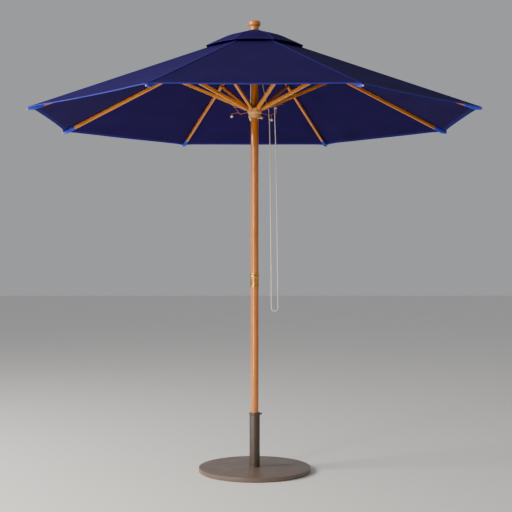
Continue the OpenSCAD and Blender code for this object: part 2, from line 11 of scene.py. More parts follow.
import bmesh
import bpy
from mathutils import Matrix, Vector
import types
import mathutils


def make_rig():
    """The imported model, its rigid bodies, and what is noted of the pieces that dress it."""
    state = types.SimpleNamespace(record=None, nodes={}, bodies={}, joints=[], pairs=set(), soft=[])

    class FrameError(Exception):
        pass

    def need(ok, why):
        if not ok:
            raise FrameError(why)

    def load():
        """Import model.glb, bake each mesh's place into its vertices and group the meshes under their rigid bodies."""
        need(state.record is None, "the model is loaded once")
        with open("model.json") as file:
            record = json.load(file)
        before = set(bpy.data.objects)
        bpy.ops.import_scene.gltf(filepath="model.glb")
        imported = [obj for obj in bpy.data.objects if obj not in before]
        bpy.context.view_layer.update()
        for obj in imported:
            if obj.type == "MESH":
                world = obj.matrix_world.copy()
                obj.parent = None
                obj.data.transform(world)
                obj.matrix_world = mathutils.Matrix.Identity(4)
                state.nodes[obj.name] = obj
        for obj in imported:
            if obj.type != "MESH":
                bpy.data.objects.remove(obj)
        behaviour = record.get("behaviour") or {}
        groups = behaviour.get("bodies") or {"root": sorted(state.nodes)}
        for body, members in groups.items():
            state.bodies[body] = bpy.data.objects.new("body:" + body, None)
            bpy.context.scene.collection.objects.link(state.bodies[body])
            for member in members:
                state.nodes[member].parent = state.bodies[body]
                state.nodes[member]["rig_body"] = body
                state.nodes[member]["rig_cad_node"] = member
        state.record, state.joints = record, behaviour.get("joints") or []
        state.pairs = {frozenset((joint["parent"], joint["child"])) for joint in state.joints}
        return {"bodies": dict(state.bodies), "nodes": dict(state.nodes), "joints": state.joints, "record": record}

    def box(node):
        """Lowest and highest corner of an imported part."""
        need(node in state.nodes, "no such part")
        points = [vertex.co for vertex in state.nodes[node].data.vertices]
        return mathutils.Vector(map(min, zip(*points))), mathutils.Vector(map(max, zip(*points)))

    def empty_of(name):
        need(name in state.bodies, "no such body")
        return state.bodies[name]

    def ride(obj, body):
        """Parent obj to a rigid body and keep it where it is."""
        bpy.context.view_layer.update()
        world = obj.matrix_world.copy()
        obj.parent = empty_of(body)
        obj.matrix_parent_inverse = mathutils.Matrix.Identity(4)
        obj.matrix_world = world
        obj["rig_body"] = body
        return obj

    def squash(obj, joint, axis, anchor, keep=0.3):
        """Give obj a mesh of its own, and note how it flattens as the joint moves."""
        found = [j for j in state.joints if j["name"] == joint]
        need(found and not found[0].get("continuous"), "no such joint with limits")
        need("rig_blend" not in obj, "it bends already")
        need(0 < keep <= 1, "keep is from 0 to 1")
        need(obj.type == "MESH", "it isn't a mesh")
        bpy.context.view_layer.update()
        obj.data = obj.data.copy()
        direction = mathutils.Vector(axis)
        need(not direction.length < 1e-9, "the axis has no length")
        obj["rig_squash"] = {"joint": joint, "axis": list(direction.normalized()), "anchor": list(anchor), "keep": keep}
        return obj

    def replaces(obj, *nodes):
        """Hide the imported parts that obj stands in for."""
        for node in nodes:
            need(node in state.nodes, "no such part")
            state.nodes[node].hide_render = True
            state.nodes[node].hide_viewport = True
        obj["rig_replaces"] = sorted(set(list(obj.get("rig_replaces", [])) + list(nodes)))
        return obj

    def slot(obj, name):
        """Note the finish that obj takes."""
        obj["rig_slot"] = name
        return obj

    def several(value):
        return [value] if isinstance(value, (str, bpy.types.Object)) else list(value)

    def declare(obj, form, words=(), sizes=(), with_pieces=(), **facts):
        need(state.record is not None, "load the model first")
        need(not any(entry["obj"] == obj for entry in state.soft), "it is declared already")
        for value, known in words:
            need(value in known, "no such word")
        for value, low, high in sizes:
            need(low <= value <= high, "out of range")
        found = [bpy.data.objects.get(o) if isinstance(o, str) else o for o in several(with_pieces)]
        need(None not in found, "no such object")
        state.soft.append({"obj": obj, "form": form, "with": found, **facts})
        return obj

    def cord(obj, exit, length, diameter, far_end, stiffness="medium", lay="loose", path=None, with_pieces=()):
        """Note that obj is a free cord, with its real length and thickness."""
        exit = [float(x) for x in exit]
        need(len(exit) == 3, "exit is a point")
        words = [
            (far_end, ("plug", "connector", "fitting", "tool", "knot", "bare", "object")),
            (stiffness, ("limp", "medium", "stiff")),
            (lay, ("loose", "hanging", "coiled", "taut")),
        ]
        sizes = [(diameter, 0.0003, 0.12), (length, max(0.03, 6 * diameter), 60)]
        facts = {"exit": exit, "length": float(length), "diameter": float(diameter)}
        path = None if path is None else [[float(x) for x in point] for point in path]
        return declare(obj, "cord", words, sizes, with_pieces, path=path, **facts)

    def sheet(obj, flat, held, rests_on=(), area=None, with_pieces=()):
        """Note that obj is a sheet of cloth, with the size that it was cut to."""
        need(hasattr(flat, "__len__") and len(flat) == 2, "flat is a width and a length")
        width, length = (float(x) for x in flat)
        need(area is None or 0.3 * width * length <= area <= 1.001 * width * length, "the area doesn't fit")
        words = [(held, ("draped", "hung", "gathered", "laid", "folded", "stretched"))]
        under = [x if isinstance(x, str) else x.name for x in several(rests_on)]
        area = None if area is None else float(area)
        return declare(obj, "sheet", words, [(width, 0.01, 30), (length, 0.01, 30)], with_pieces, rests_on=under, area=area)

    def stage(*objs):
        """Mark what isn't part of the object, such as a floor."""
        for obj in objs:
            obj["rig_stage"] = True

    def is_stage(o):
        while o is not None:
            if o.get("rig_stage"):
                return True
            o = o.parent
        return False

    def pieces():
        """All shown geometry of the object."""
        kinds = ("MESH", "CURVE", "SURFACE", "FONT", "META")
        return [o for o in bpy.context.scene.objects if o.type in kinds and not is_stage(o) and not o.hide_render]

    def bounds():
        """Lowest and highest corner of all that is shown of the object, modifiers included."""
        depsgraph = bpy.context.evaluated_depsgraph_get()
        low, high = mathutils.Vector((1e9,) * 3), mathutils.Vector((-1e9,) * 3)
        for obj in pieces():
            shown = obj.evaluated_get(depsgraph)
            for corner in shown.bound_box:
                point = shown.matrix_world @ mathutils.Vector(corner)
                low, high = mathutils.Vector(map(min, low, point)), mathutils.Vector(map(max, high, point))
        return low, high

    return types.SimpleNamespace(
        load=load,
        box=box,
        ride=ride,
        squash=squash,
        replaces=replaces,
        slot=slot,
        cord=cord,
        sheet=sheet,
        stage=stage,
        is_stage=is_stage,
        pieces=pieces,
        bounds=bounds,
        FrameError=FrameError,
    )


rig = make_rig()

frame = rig.load()
CAD_BOX = [list(p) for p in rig.bounds()]
JOINTS = {j["name"]: j for j in frame["joints"]}
DICE = random.Random(7)

MM = 0.001
COUNT = 8
STEP = math.tau / COUNT
HALF = STEP / 2
BAND_HALF = 9 * MM         # half of the cloth that stays flat over a rib when the canopy folds
EASE = 1.6                 # crowds the cloth's columns towards the rib
SIDE_WORD = {1: "right", -1: "left"}

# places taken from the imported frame
PIVOT = Vector(JOINTS["rib_1_fold"]["pos_m"])
ELBOW = Vector(JOINTS["strut_1_swing"]["pos_m"])
PIVOT_R, CROWN_Z = PIVOT.xy.length, PIVOT.z
ELBOW_R, ELBOW_Z = ELBOW.xy.length, ELBOW.z
RUNNER_Z = JOINTS["runner_travel"]["pos_m"][2]
RIM_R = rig.box("canopy_1")[1].x / math.cos(HALF)
BASE_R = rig.box("base_shell")[1].x
BASE_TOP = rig.box("base_shell")[1].z
TUBE_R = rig.box("stand_tube")[1].x
TUBE_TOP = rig.box("stand_tube")[1].z
COLLAR_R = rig.box("clamp_collar")[1].x
COLLAR_LOW, COLLAR_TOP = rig.box("clamp_collar")[0].z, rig.box("clamp_collar")[1].z
POLE_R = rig.box("upper_pole")[1].x
FIXED_R = POLE_R + 0.05 * MM    # inner radius of what is fixed on the pole
SLIDING_R = POLE_R + 0.8 * MM   # inner radius of what slides on the pole
POLE_LOW, JOINT_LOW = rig.box("lower_pole")[0].z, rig.box("lower_pole")[1].z
JOINT_HIGH, POLE_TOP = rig.box("upper_pole")[0].z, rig.box("upper_pole")[1].z
FERRULE_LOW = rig.box("lower_ferrule")[0].z
RING_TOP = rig.box("upper_ring")[1].z
RUNNER_LOW, RUNNER_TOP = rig.box("runner")[0].z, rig.box("runner")[1].z
HUB_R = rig.box("runner")[1].x
CROWN_LOW, CROWN_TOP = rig.box("crown")[0].z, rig.box("crown")[1].z
FINIAL_LOW, FINIAL_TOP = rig.box("finial")[0].z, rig.box("finial")[1].z
SHEAVE_Z = JOINTS["sheave_turn"]["pos_m"][2]

SLOPE = math.radians(21.5)
FOLD = math.radians(65)         # how far a rib folds down
RIB_W, RIB_H = 14 * MM, 18 * MM
STRUT_W, STRUT_H = 16 * MM, 18 * MM
TONGUE_W, TONGUE_R, TONGUE_LEN = 8 * MM, 6.5 * MM, 12 * MM
CLOTH_T = 1 * MM
SLOT_TALL = 0.06                # height of the tools that cut a hub's slots
ROPE_LANE = 31.5                # millimetres from the pole's axis to the rope in the runner
HEM_CURVE, CORNER_PULL = 12 * MM, 14 * MM
PEAK_Z = CROWN_Z + PIVOT_R * math.tan(SLOPE) + (RIB_H / 2 + 3.6 * MM) / math.cos(SLOPE)
VENT_R, CAP_R, CAP_BEND, CAP_INNER, CAP_LIFT = 0.16, 0.285, 0.15, 0.03, 14 * MM
CAP_INNER_Z = CROWN_TOP + 1 * MM
CAP_RIM_Z = PEAK_Z - CAP_R * math.tan(SLOPE) + CAP_LIFT
CAP_FALL = math.tan(SLOPE + math.radians(5))
CAP_BEND_Z = CAP_RIM_Z + (CAP_R - CAP_BEND) * CAP_FALL
RIB_LEN = (RIM_R - 8 * MM - PIVOT_R) / math.cos(SLOPE)
STRUT_LEN = math.hypot(ELBOW_R - PIVOT_R, CROWN_Z - ELBOW_Z)
STRUT_ANGLE = math.atan2(CROWN_Z - ELBOW_Z, ELBOW_R - PIVOT_R)


# ---------------------------------------------------------------- camera and room
LENS, SENSOR = 71, 36           # millimetres
CAMERA_PLACE, CAMERA_SHIFT = (0, -5.6, 1.153), (0.0026, 0.0137)


def make_camera():
    data = bpy.data.cameras.new("camera")
    data.lens, data.sensor_width = LENS, SENSOR
    data.shift_x, data.shift_y = CAMERA_SHIFT
    camera = bpy.data.objects.new("camera", data)
    camera.location = CAMERA_PLACE
    camera.rotation_euler = (math.pi / 2, 0, 0)
    bpy.context.scene.collection.objects.link(camera)
    bpy.context.scene.camera = camera


def area_light(name, place, target, size, power, colour):
    data = bpy.data.lights.new(name, "AREA")
    data.shape = "RECTANGLE"
    data.size, data.size_y = size
    data.energy, data.color = power, colour
    light = bpy.data.objects.new(name, data)
    light.location = place
    light.rotation_euler = (Vector(target) - Vector(place)).to_track_quat("-Z", "Y").to_euler()
    bpy.context.scene.collection.objects.link(light)


# ---------------------------------------------------------------- shader helpers
def feed(tree, socket, value):
    """Links a socket to another one, or sets its value."""
    if isinstance(value, bpy.types.NodeSocket):
        tree.links.new(value, socket)
    else:
        socket.default_value = value


def add(tree, kind, inputs=None, **settings):
    made = tree.nodes.new("ShaderNode" + kind)
    for key, value in settings.items():
        setattr(made, key, value)
    for key, value in (inputs or {}).items():
        feed(tree, made.inputs[key], value)
    return made


def calc(tree, operation, a, b=0.0):
    return add(tree, "Math", {0: a, 1: b}, operation=operation).outputs[0]


def stretched(tree, vector, factors):
    return add(tree, "VectorMath", {0: vector, 1: factors}, operation="MULTIPLY").outputs[0]


def noise(tree, vector, scale, detail=3.0, rough=0.5, distortion=0.0):
    return add(tree, "TexNoise", {"Vector": vector, "Scale": scale, "Detail": detail,
                                  "Roughness": rough, "Distortion": distortion}).outputs[0]


def between(tree, value, low, high, to_low=0.0, to_high=1.0):
    return add(tree, "MapRange", {0: value, 1: low, 2: high, 3: to_low, 4: to_high}).outputs[0]


def blend_colour(tree, factor, first, second):
    return add(tree, "Mix", {0: factor, 6: first, 7: second}, data_type="RGBA").outputs[2]


def group(name, inputs, outputs):
    """An empty node group with float, vector or colour sockets, its inputs and its output node."""
    tree = bpy.data.node_groups.new(name, "ShaderNodeTree")
    for label, kind, value in inputs:
        socket = tree.interface.new_socket(label, in_out="INPUT", socket_type="NodeSocket" + kind)
        if value is not None:
            socket.default_value = value
    for label, kind in outputs:
        tree.interface.new_socket(label, in_out="OUTPUT", socket_type="NodeSocket" + kind)
    return tree, tree.nodes.new("NodeGroupInput").outputs, tree.nodes.new("NodeGroupOutput").inputs


def use(tree, made, inputs):
    node = tree.nodes.new("ShaderNodeGroup")
    node.node_tree = made
    for key, value in inputs.items():
        feed(tree, node.inputs[key], value)
    return node.outputs


def rgb(red, green, blue):
    """A colour given in the usual 0 to 255 steps, as linear light."""
    def line(c):
        c /= 255
        return c / 12.92 if c <= 0.04045 else ((c + 0.055) / 1.055) ** 2.4
    return line(red), line(green), line(blue), 1


def tinted(colour, factor, more=0.0):
    """The colour made lighter or darker."""
    return tuple(min(1, factor * c + more) for c in colour[:3]) + (1,)


def make_grain():
    """Wood grain along X: figure is the light and dark of the wood, pores its open grain."""
    tree, given, out = group("wood_grain", [("Vector", "Vector", None)],
                             [("Figure", "Float"), ("Pores", "Float")])
    at = given["Vector"]
    broad = noise(tree, stretched(tree, at, (1.6, 34, 34)), 1, 4, 0.6, 0.7)
    wave = add(tree, "TexWave", {
        "Vector": stretched(tree, at, (0.12, 1, 1)), "Scale": 70, "Distortion": 7, "Detail": 3,
        "Detail Scale": 1.3}, bands_direction="Y").outputs[1]
    fine = noise(tree, stretched(tree, at, (22, 800, 800)), 1, 3, 0.6)
    mixed = calc(tree, "ADD", calc(tree, "MULTIPLY", broad, 0.62),
                 calc(tree, "MULTIPLY", wave, 0.24))
    mixed = calc(tree, "ADD", mixed, calc(tree, "MULTIPLY", fine, 0.26))
    tree.links.new(between(tree, mixed, 0.34, 0.8), out["Figure"])
    tree.links.new(between(tree, fine, 0.35, 0.6), out["Pores"])
    return tree


def make_weave():
    """Plain canvas on a metric UV: height of the threads, and the slubs and fading of the dye."""
    tree, given, out = group("canvas_weave", [("Vector", "Vector", None), ("Pitch", "Float", 0.0009)],
                             [("Height", "Float"), ("Dye", "Float")])
    at, pitch = given["Vector"], given["Pitch"]
    split = add(tree, "SeparateXYZ", {0: at}).outputs
    turns = [calc(tree, "MULTIPLY", calc(tree, "DIVIDE", split[i], pitch), math.pi) for i in (0, 1)]
    warp, weft = (calc(tree, "ABSOLUTE", calc(tree, "SINE", t)) for t in turns)
    over = calc(tree, "MULTIPLY", calc(tree, "SINE", turns[0]), calc(tree, "SINE", turns[1]))
    side = calc(tree, "GREATER_THAN", over, 0.0)
    height = add(tree, "Mix", {0: side, 2: warp, 3: weft}, data_type="FLOAT").outputs[0]
    slubs = noise(tree, stretched(tree, at, (900, 30, 1)), 1, 2)
    fade = noise(tree, at, 5, 4, 0.6)
    dye = calc(tree, "ADD", calc(tree, "MULTIPLY", slubs, 0.4), calc(tree, "MULTIPLY", fade, 0.6))
    tree.links.new(height, out["Height"])
    tree.links.new(dye, out["Dye"])
    return tree


def make_stitches():
    """A row of thread at a distance across the cloth, on a metric UV that runs along it."""
    tree, given, out = group("stitch_row", [
        ("Vector", "Vector", None), ("Across", "Float", 0.006), ("Pitch", "Float", 0.0045)],
        [("Thread", "Float")])
    split = add(tree, "SeparateXYZ", {0: given["Vector"]}).outputs
    aside = calc(tree, "ABSOLUTE", split[1])
    off = calc(tree, "ABSOLUTE", calc(tree, "SUBTRACT", aside, given["Across"]))
    near = between(tree, off, 0.0003, 0.0007, 1, 0)
    along = calc(tree, "FRACT", calc(tree, "DIVIDE", split[0], given["Pitch"]))
    gap = calc(tree, "LESS_THAN", along, 0.72)
    tree.links.new(calc(tree, "MULTIPLY", near, gap), out["Thread"])
    return tree


def make_wear():
    """Scuffs, fingermarks and dust of a painted or bare metal, by place on the piece."""
    tree, given, out = group("surface_wear", [("Vector", "Vector", None)],
                             [("Scuffs", "Float"), ("Smudge", "Float"), ("Speckle", "Float")])
    at = given["Vector"]
    scuffs = noise(tree, stretched(tree, at, (60, 60, 60)), 1, 6, 0.75, 1.2)
    tree.links.new(between(tree, scuffs, 0.62, 0.74), out["Scuffs"])
    tree.links.new(noise(tree, at, 9, 3), out["Smudge"])
    tree.links.new(noise(tree, at, 1400, 1), out["Speckle"])
    return tree


GRAIN, WEAVE, STITCHES, WEAR = make_grain(), make_weave(), make_stitches(), make_wear()


def material(name, **constants):
    made = bpy.data.materials.new(name)
    made.use_nodes = True
    tree = made.node_tree
    shader = tree.nodes["Principled BSDF"]
    for label, value in constants.items():
        shader.inputs[label.replace("_", " ")].default_value = value
    return made, tree, shader.inputs


def bump(tree, height, distance, strength=1.0):
    return add(tree, "Bump", {"Height": height, "Distance": distance, "Strength": strength}).outputs[0]


def wood(name, light, dark, gloss=0.6):
    """Varnished wood, with its grain along the piece."""
    made, tree, shader = material(name, Coat_Weight=gloss, Coat_Roughness=0.07, Specular_IOR_Level=0.4)
    at = add(tree, "Attribute", attribute_name="grain").outputs["Vector"]
    grain = use(tree, GRAIN, {"Vector": at})
    colour = blend_colour(tree, grain["Figure"], light, dark)
    tree.links.new(blend_colour(tree, calc(tree, "MULTIPLY", grain["Pores"], 0.22), colour,
                                tinted(dark, 0.45)), shader["Base Color"])
    tree.links.new(between(tree, grain["Figure"], 0, 1, 0.34, 0.46), shader["Roughness"])
    tree.links.new(bump(tree, grain["Pores"], 0.00008, 0.5), shader["Normal"])
    return made


def canvas(name, colour, worn, rows=()):
    """Woven cloth on the UV map named cloth, with rows of stitches at the given distances."""
    made, tree, shader = material(name, Roughness=0.82, Sheen_Weight=0.06, Sheen_Roughness=0.4,
                                  Specular_IOR_Level=0.09)
    shader["Sheen Tint"].default_value = tinted(worn, 3)
    at = add(tree, "UVMap", uv_map="cloth").outputs[0]
    weave = use(tree, WEAVE, {"Vector": at})
    shade = blend_colour(tree, between(tree, weave["Dye"], 0.35, 0.68), colour, worn)
    height = calc(tree, "MULTIPLY", weave["Height"], 0.5)
    for across in rows:
        thread = use(tree, STITCHES, {"Vector": at, "Across": across})["Thread"]
        shade = blend_colour(tree, calc(tree, "MULTIPLY", thread, 0.8), shade,
                             tinted(worn, 2.4, 0.02))
        height = calc(tree, "ADD", height, calc(tree, "MULTIPLY", thread, 1.5))
    tree.links.new(shade, shader["Base Color"])
    tree.links.new(bump(tree, height, 0.0003, 0.55), shader["Normal"])
    return made


def metal(name, colour, worn, rough, metallic, wear=0.5, speckle=0.00004):
    made, tree, shader = material(name, Metallic=metallic, Specular_IOR_Level=0.5)
    at = add(tree, "TexCoord").outputs["Object"]
    marks = use(tree, WEAR, {"Vector": at})
    shade = blend_colour(tree, calc(tree, "MULTIPLY", marks["Smudge"], 0.35), colour, worn)
    shade = blend_colour(tree, calc(tree, "MULTIPLY", marks["Scuffs"], wear), shade, worn)
    tree.links.new(shade, shader["Base Color"])
    tree.links.new(between(tree, marks["Smudge"], 0.3, 0.7, rough - 0.07, rough + 0.1),
                   shader["Roughness"])
    tree.links.new(bump(tree, marks["Speckle"], speckle, 0.6), shader["Normal"])
    return made


def make_rope_look():
    made, tree, shader = material("rope", Roughness=0.75, Sheen_Weight=0.2)
    at = add(tree, "UVMap", uv_map="cloth").outputs[0]
    fibre = noise(tree, stretched(tree, at, (160, 2400, 1)), 1, 2)
    tree.links.new(blend_colour(tree, fibre, rgb(196, 182, 186), rgb(226, 214, 212)),
                   shader["Base Color"])
    tree.links.new(bump(tree, fibre, 0.0002, 0.6), shader["Normal"])
    return made


WOOD = wood("varnished_wood", rgb(240, 152, 30), rgb(178, 94, 10))
POLE_WOOD = wood("pole_wood", rgb(222, 134, 22), rgb(152, 72, 4), 1)
KNOB_WOOD = wood("turned_wood", rgb(208, 134, 54), rgb(178, 102, 34), 0.8)
HUB_WOOD = wood("runner_wood", rgb(244, 184, 116), rgb(208, 136, 70), 0.35)
BEAD_WOOD = wood("bead_wood", rgb(240, 228, 196), rgb(222, 202, 160), 0.3)
NAVY = canvas("navy_canvas", rgb(24, 9, 68), rgb(31, 14, 84))
# The seam cloth is a lighter blue than the canopy: a painted highlight along the ridge seams, also used for the cap's
# piping and the apex patch.
BAND_PAINTED_HIGHLIGHT = canvas("seam_canvas", rgb(29, 16, 84), rgb(38, 25, 108), (6.5 * MM,))
# The hem cloth is lighter than the canopy: a painted highlight where light catches the hem.
HEM_PAINTED_HIGHLIGHT = canvas("hem_canvas", rgb(31, 19, 92), rgb(40, 28, 116), (17 * MM,))
# The piping is a much lighter blue than the canopy: a painted highlight of the light on the hem's edge.
PIPING_PAINTED_HIGHLIGHT = canvas("piping_canvas", rgb(44, 46, 132), rgb(58, 60, 156))
POCKET = canvas("pocket_canvas", rgb(52, 62, 190), rgb(72, 84, 214), (5 * MM,))
DARK_STEEL = metal("powder_coat", rgb(94, 78, 69), rgb(120, 104, 95), 0.36, 0.0, 0.25)
TUBE_STEEL = metal("tube_coat", rgb(62, 50, 42), rgb(88, 76, 68), 0.4, 0.0, 0.25)
COLLAR_STEEL = metal("black_coat", rgb(58, 50, 44), rgb(92, 82, 74), 0.4, 0.0, 0.4)
STEEL = metal("bare_steel", rgb(176, 176, 180), rgb(140, 138, 136), 0.32, 1.0, 0.3, 0.00002)
BRASS = metal("brass", rgb(214, 152, 72), rgb(168, 108, 48), 0.28, 1.0, 0.4, 0.00002)
PLASTIC = metal("black_plastic", rgb(34, 33, 33), rgb(52, 50, 50), 0.5, 0.0, 0.2)
RUBBER = metal("rubber", rgb(28, 27, 27), rgb(44, 42, 42), 0.75, 0.0, 0.2, 0.0001)
CONCRETE = metal("concrete", rgb(150, 147, 140), rgb(122, 119, 112), 0.9, 0.0, 0.6, 0.0004)
WIRE = metal("coated_wire", rgb(186, 116, 58), rgb(136, 80, 38), 0.35, 0.0, 0.3)
ROPE = make_rope_look()


# ---------------------------------------------------------------- modelling helpers
def deselect():
    if bpy.context.object and bpy.context.object.mode != "OBJECT":
        bpy.ops.object.mode_set(mode="OBJECT")
    bpy.ops.object.select_all(action="DESELECT")


def only(obj):
    deselect()
    obj.select_set(True)
    bpy.context.view_layer.objects.active = obj


def edit(obj, kind="FACE"):
    only(obj)
    bpy.ops.object.mode_set(mode="EDIT")
    bpy.ops.mesh.select_mode(type=kind)


def pick(obj, kind, test):
    """Selects the faces or edges of an object in edit mode that pass a test."""
    bpy.ops.mesh.select_all(action="DESELECT")
    mesh = bmesh.from_edit_mesh(obj.data)
    for item in getattr(mesh, kind):
        if test(item):
            item.select_set(True)
    bmesh.update_edit_mesh(obj.data)


def close(obj, angle=40):
    """Leaves edit mode, applies the place and shades the piece."""
    if bpy.context.object.mode != "OBJECT":
        bpy.ops.object.mode_set(mode="OBJECT")
    only(obj)
    bpy.ops.object.transform_apply(location=True, rotation=True, scale=True)
    bpy.ops.object.shade_smooth_by_angle(angle=math.radians(angle))
    return obj


def modify(obj, kind, **settings):
    only(obj)
    added = obj.modifiers.new(kind.lower(), kind)
    for key, value in settings.items():
        setattr(added, key, value)
    bpy.ops.object.modifier_apply(modifier=added.name)
    return obj


def put(obj, name, look, body, slot, stands_for=()):
    """Names a finished piece, gives it its look and fixes it to its body."""
    obj.name = name
    obj.data.name = name
    obj.data.materials.clear()
    obj.data.materials.append(look)
    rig.ride(obj, body)
    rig.slot(obj, slot)
    if stands_for:
        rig.replaces(obj, *stands_for)
    return obj


def grain(obj, order=(0, 1, 2)):
    """Writes each point's place in the plank, with the grain along the first axis of order."""
    shift = [DICE.uniform(-3, 3) for _ in range(3)]
    layer = obj.data.attributes.new("grain", "FLOAT_VECTOR", "POINT")
    for vertex, value in zip(obj.data.vertices, layer.data):
        value.vector = [vertex.co[order[i]] + shift[i] for i in range(3)]
    return obj


def copied(obj):
    """A copy with its own mesh."""
    other = obj.copy()
    other.data = obj.data.copy()
    bpy.context.scene.collection.objects.link(other)
    return other


def tilted(place, angle):
    """The matrix that turns a piece about Y and then moves it to its place."""
    return Matrix.Translation(place) @ Matrix.Rotation(angle, 4, "Y")


def remove(*objects):
    for obj in objects:
        bpy.data.objects.remove(obj)


def turn(profile, steps=64, angle=35):
    """A turned piece: the profile's points (radius, height), extruded one by one and spun."""
    deselect()
    bpy.ops.mesh.primitive_plane_add(size=MM)
    obj = bpy.context.object
    edit(obj, "VERT")
    bpy.ops.mesh.select_all(action="SELECT")
    bpy.ops.mesh.merge(type="CENTER")
    bpy.ops.transform.translate(value=(profile[0][0], 0, profile[0][1]))
    for (r0, z0), (r1, z1) in zip(profile, profile[1:]):
        bpy.ops.mesh.extrude_vertices_move(TRANSFORM_OT_translate={"value": (r1 - r0, 0, z1 - z0)})
    bpy.ops.mesh.select_all(action="SELECT")
    bpy.ops.mesh.spin(steps=steps, angle=math.tau, center=(0, 0, 0), axis=(0, 0, 1))
    bpy.ops.mesh.select_all(action="SELECT")
    bpy.ops.mesh.remove_doubles(threshold=MM / 50)
    bpy.ops.mesh.normals_make_consistent(inside=False)
    return close(obj, angle)


def rounded(points, radius, steps=4):
    """The profile's corners rounded; its first and last points stay."""
    out = [points[0]]
    for before, here, after in zip(points, points[1:], points[2:]):
        a, b, c = (Vector(p) for p in (before, here, after))
        reach = min(radius, (a - b).length * 0.45, (c - b).length * 0.45)
        start, end = b + (a - b).normalized() * reach, b + (c - b).normalized() * reach
        for i in range(steps + 1):
            u = i / steps
            out.append(tuple((1 - u) ** 2 * start + 2 * u * (1 - u) * b + u * u * end))
    out.append(points[-1])
    return out


def cut(obj, *tools):
    for tool in tools:
        modify(obj, "BOOLEAN", object=tool, operation="DIFFERENCE", solver="EXACT")
        remove(tool)
    return close(obj, 35)


def block(size, centre, turned=0.0):
    deselect()
    bpy.ops.mesh.primitive_cube_add(size=1, location=centre, rotation=(0, 0, turned))
    obj = bpy.context.object
    obj.scale = size
    return close(obj)


def rod(radius, length, centre, rotation, steps=32):
    deselect()
    bpy.ops.mesh.primitive_cylinder_add(radius=radius, depth=length, vertices=steps, location=centre,
                                        rotation=rotation)
    return close(bpy.context.object)


def azimuth(k):
    return STEP * (k - 0.5)


# ---------------------------------------------------------------- stand
def make_stand():
    wall, rise = 1.5 * MM, 3 * MM
    shell = turn(rounded([(0, BASE_TOP), (BASE_R, BASE_TOP), (BASE_R, rise), (BASE_R - wall, rise),
                          (BASE_R - wall, BASE_TOP - wall), (0, BASE_TOP - wall)], 0.7 * MM, 3), 160)
    put(shell, "base_cover", DARK_STEEL, "stand", "dark_steel", ["base_shell"])
    fillet = 3 * MM
    weld = [(TUBE_R + fillet * (1 - math.sin(a)), BASE_TOP + fillet * (1 - math.cos(a)))
            for a in [math.pi / 2 * i / 6 for i in range(7)]]
    inner, bottom = TUBE_R - 3 * MM, BASE_TOP + 8 * MM
    socket = turn([(0, BASE_TOP)] + weld + rounded(
        [(TUBE_R, BASE_TOP + 4 * MM), (TUBE_R, TUBE_TOP), (inner, TUBE_TOP), (inner, bottom)],
        0.5 * MM, 2) + [(0, bottom)], 64)
    put(socket, "stand_socket", TUBE_STEEL, "stand", "dark_steel", ["stand_tube"])
    skin = TUBE_R + 0.05 * MM
    collar = turn(rounded([
        (skin, COLLAR_LOW), (COLLAR_R, COLLAR_LOW), (COLLAR_R, COLLAR_TOP), (SLIDING_R, COLLAR_TOP),
        (SLIDING_R, TUBE_TOP), (skin, TUBE_TOP), (skin, COLLAR_LOW)], 1.4 * MM), 64)
    put(collar, "clamp_ring", COLLAR_STEEL, "stand", "dark_steel", ["clamp_collar"])
    make_knob()


def make_knob():
    low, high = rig.box("clamp_knob")
    radius, length = (high.z - low.z) / 2, high.x - low.x
    knob = turn(rounded([(0, 0), (radius - 1 * MM, 0), (radius, 0.25 * length), (radius, 0.75 * length),
                         (radius - 1.5 * MM, length), (0, length)], 0.8 * MM, 3), 48)

    def in_groove(face):
        """Every second face about the rim, of those that make up 7.5 degrees each."""
        at = face.calc_center_median()
        step = int(math.degrees(math.atan2(at.y, at.x)) // 7.5)
        return at.xy.length > radius - 0.7 * MM and step % 2

    edit(knob, "FACE")
    pick(knob, "faces", in_groove)
    bpy.ops.mesh.inset(thickness=0.15 * MM, depth=-0.45 * MM)
    close(knob, 30)
    knob.data.transform(tilted((low.x, 0, (low.z + high.z) / 2), math.pi / 2))
    put(knob, "clamp_thumbwheel", PLASTIC, "clamp_knob", "black_plastic", ["clamp_knob"])


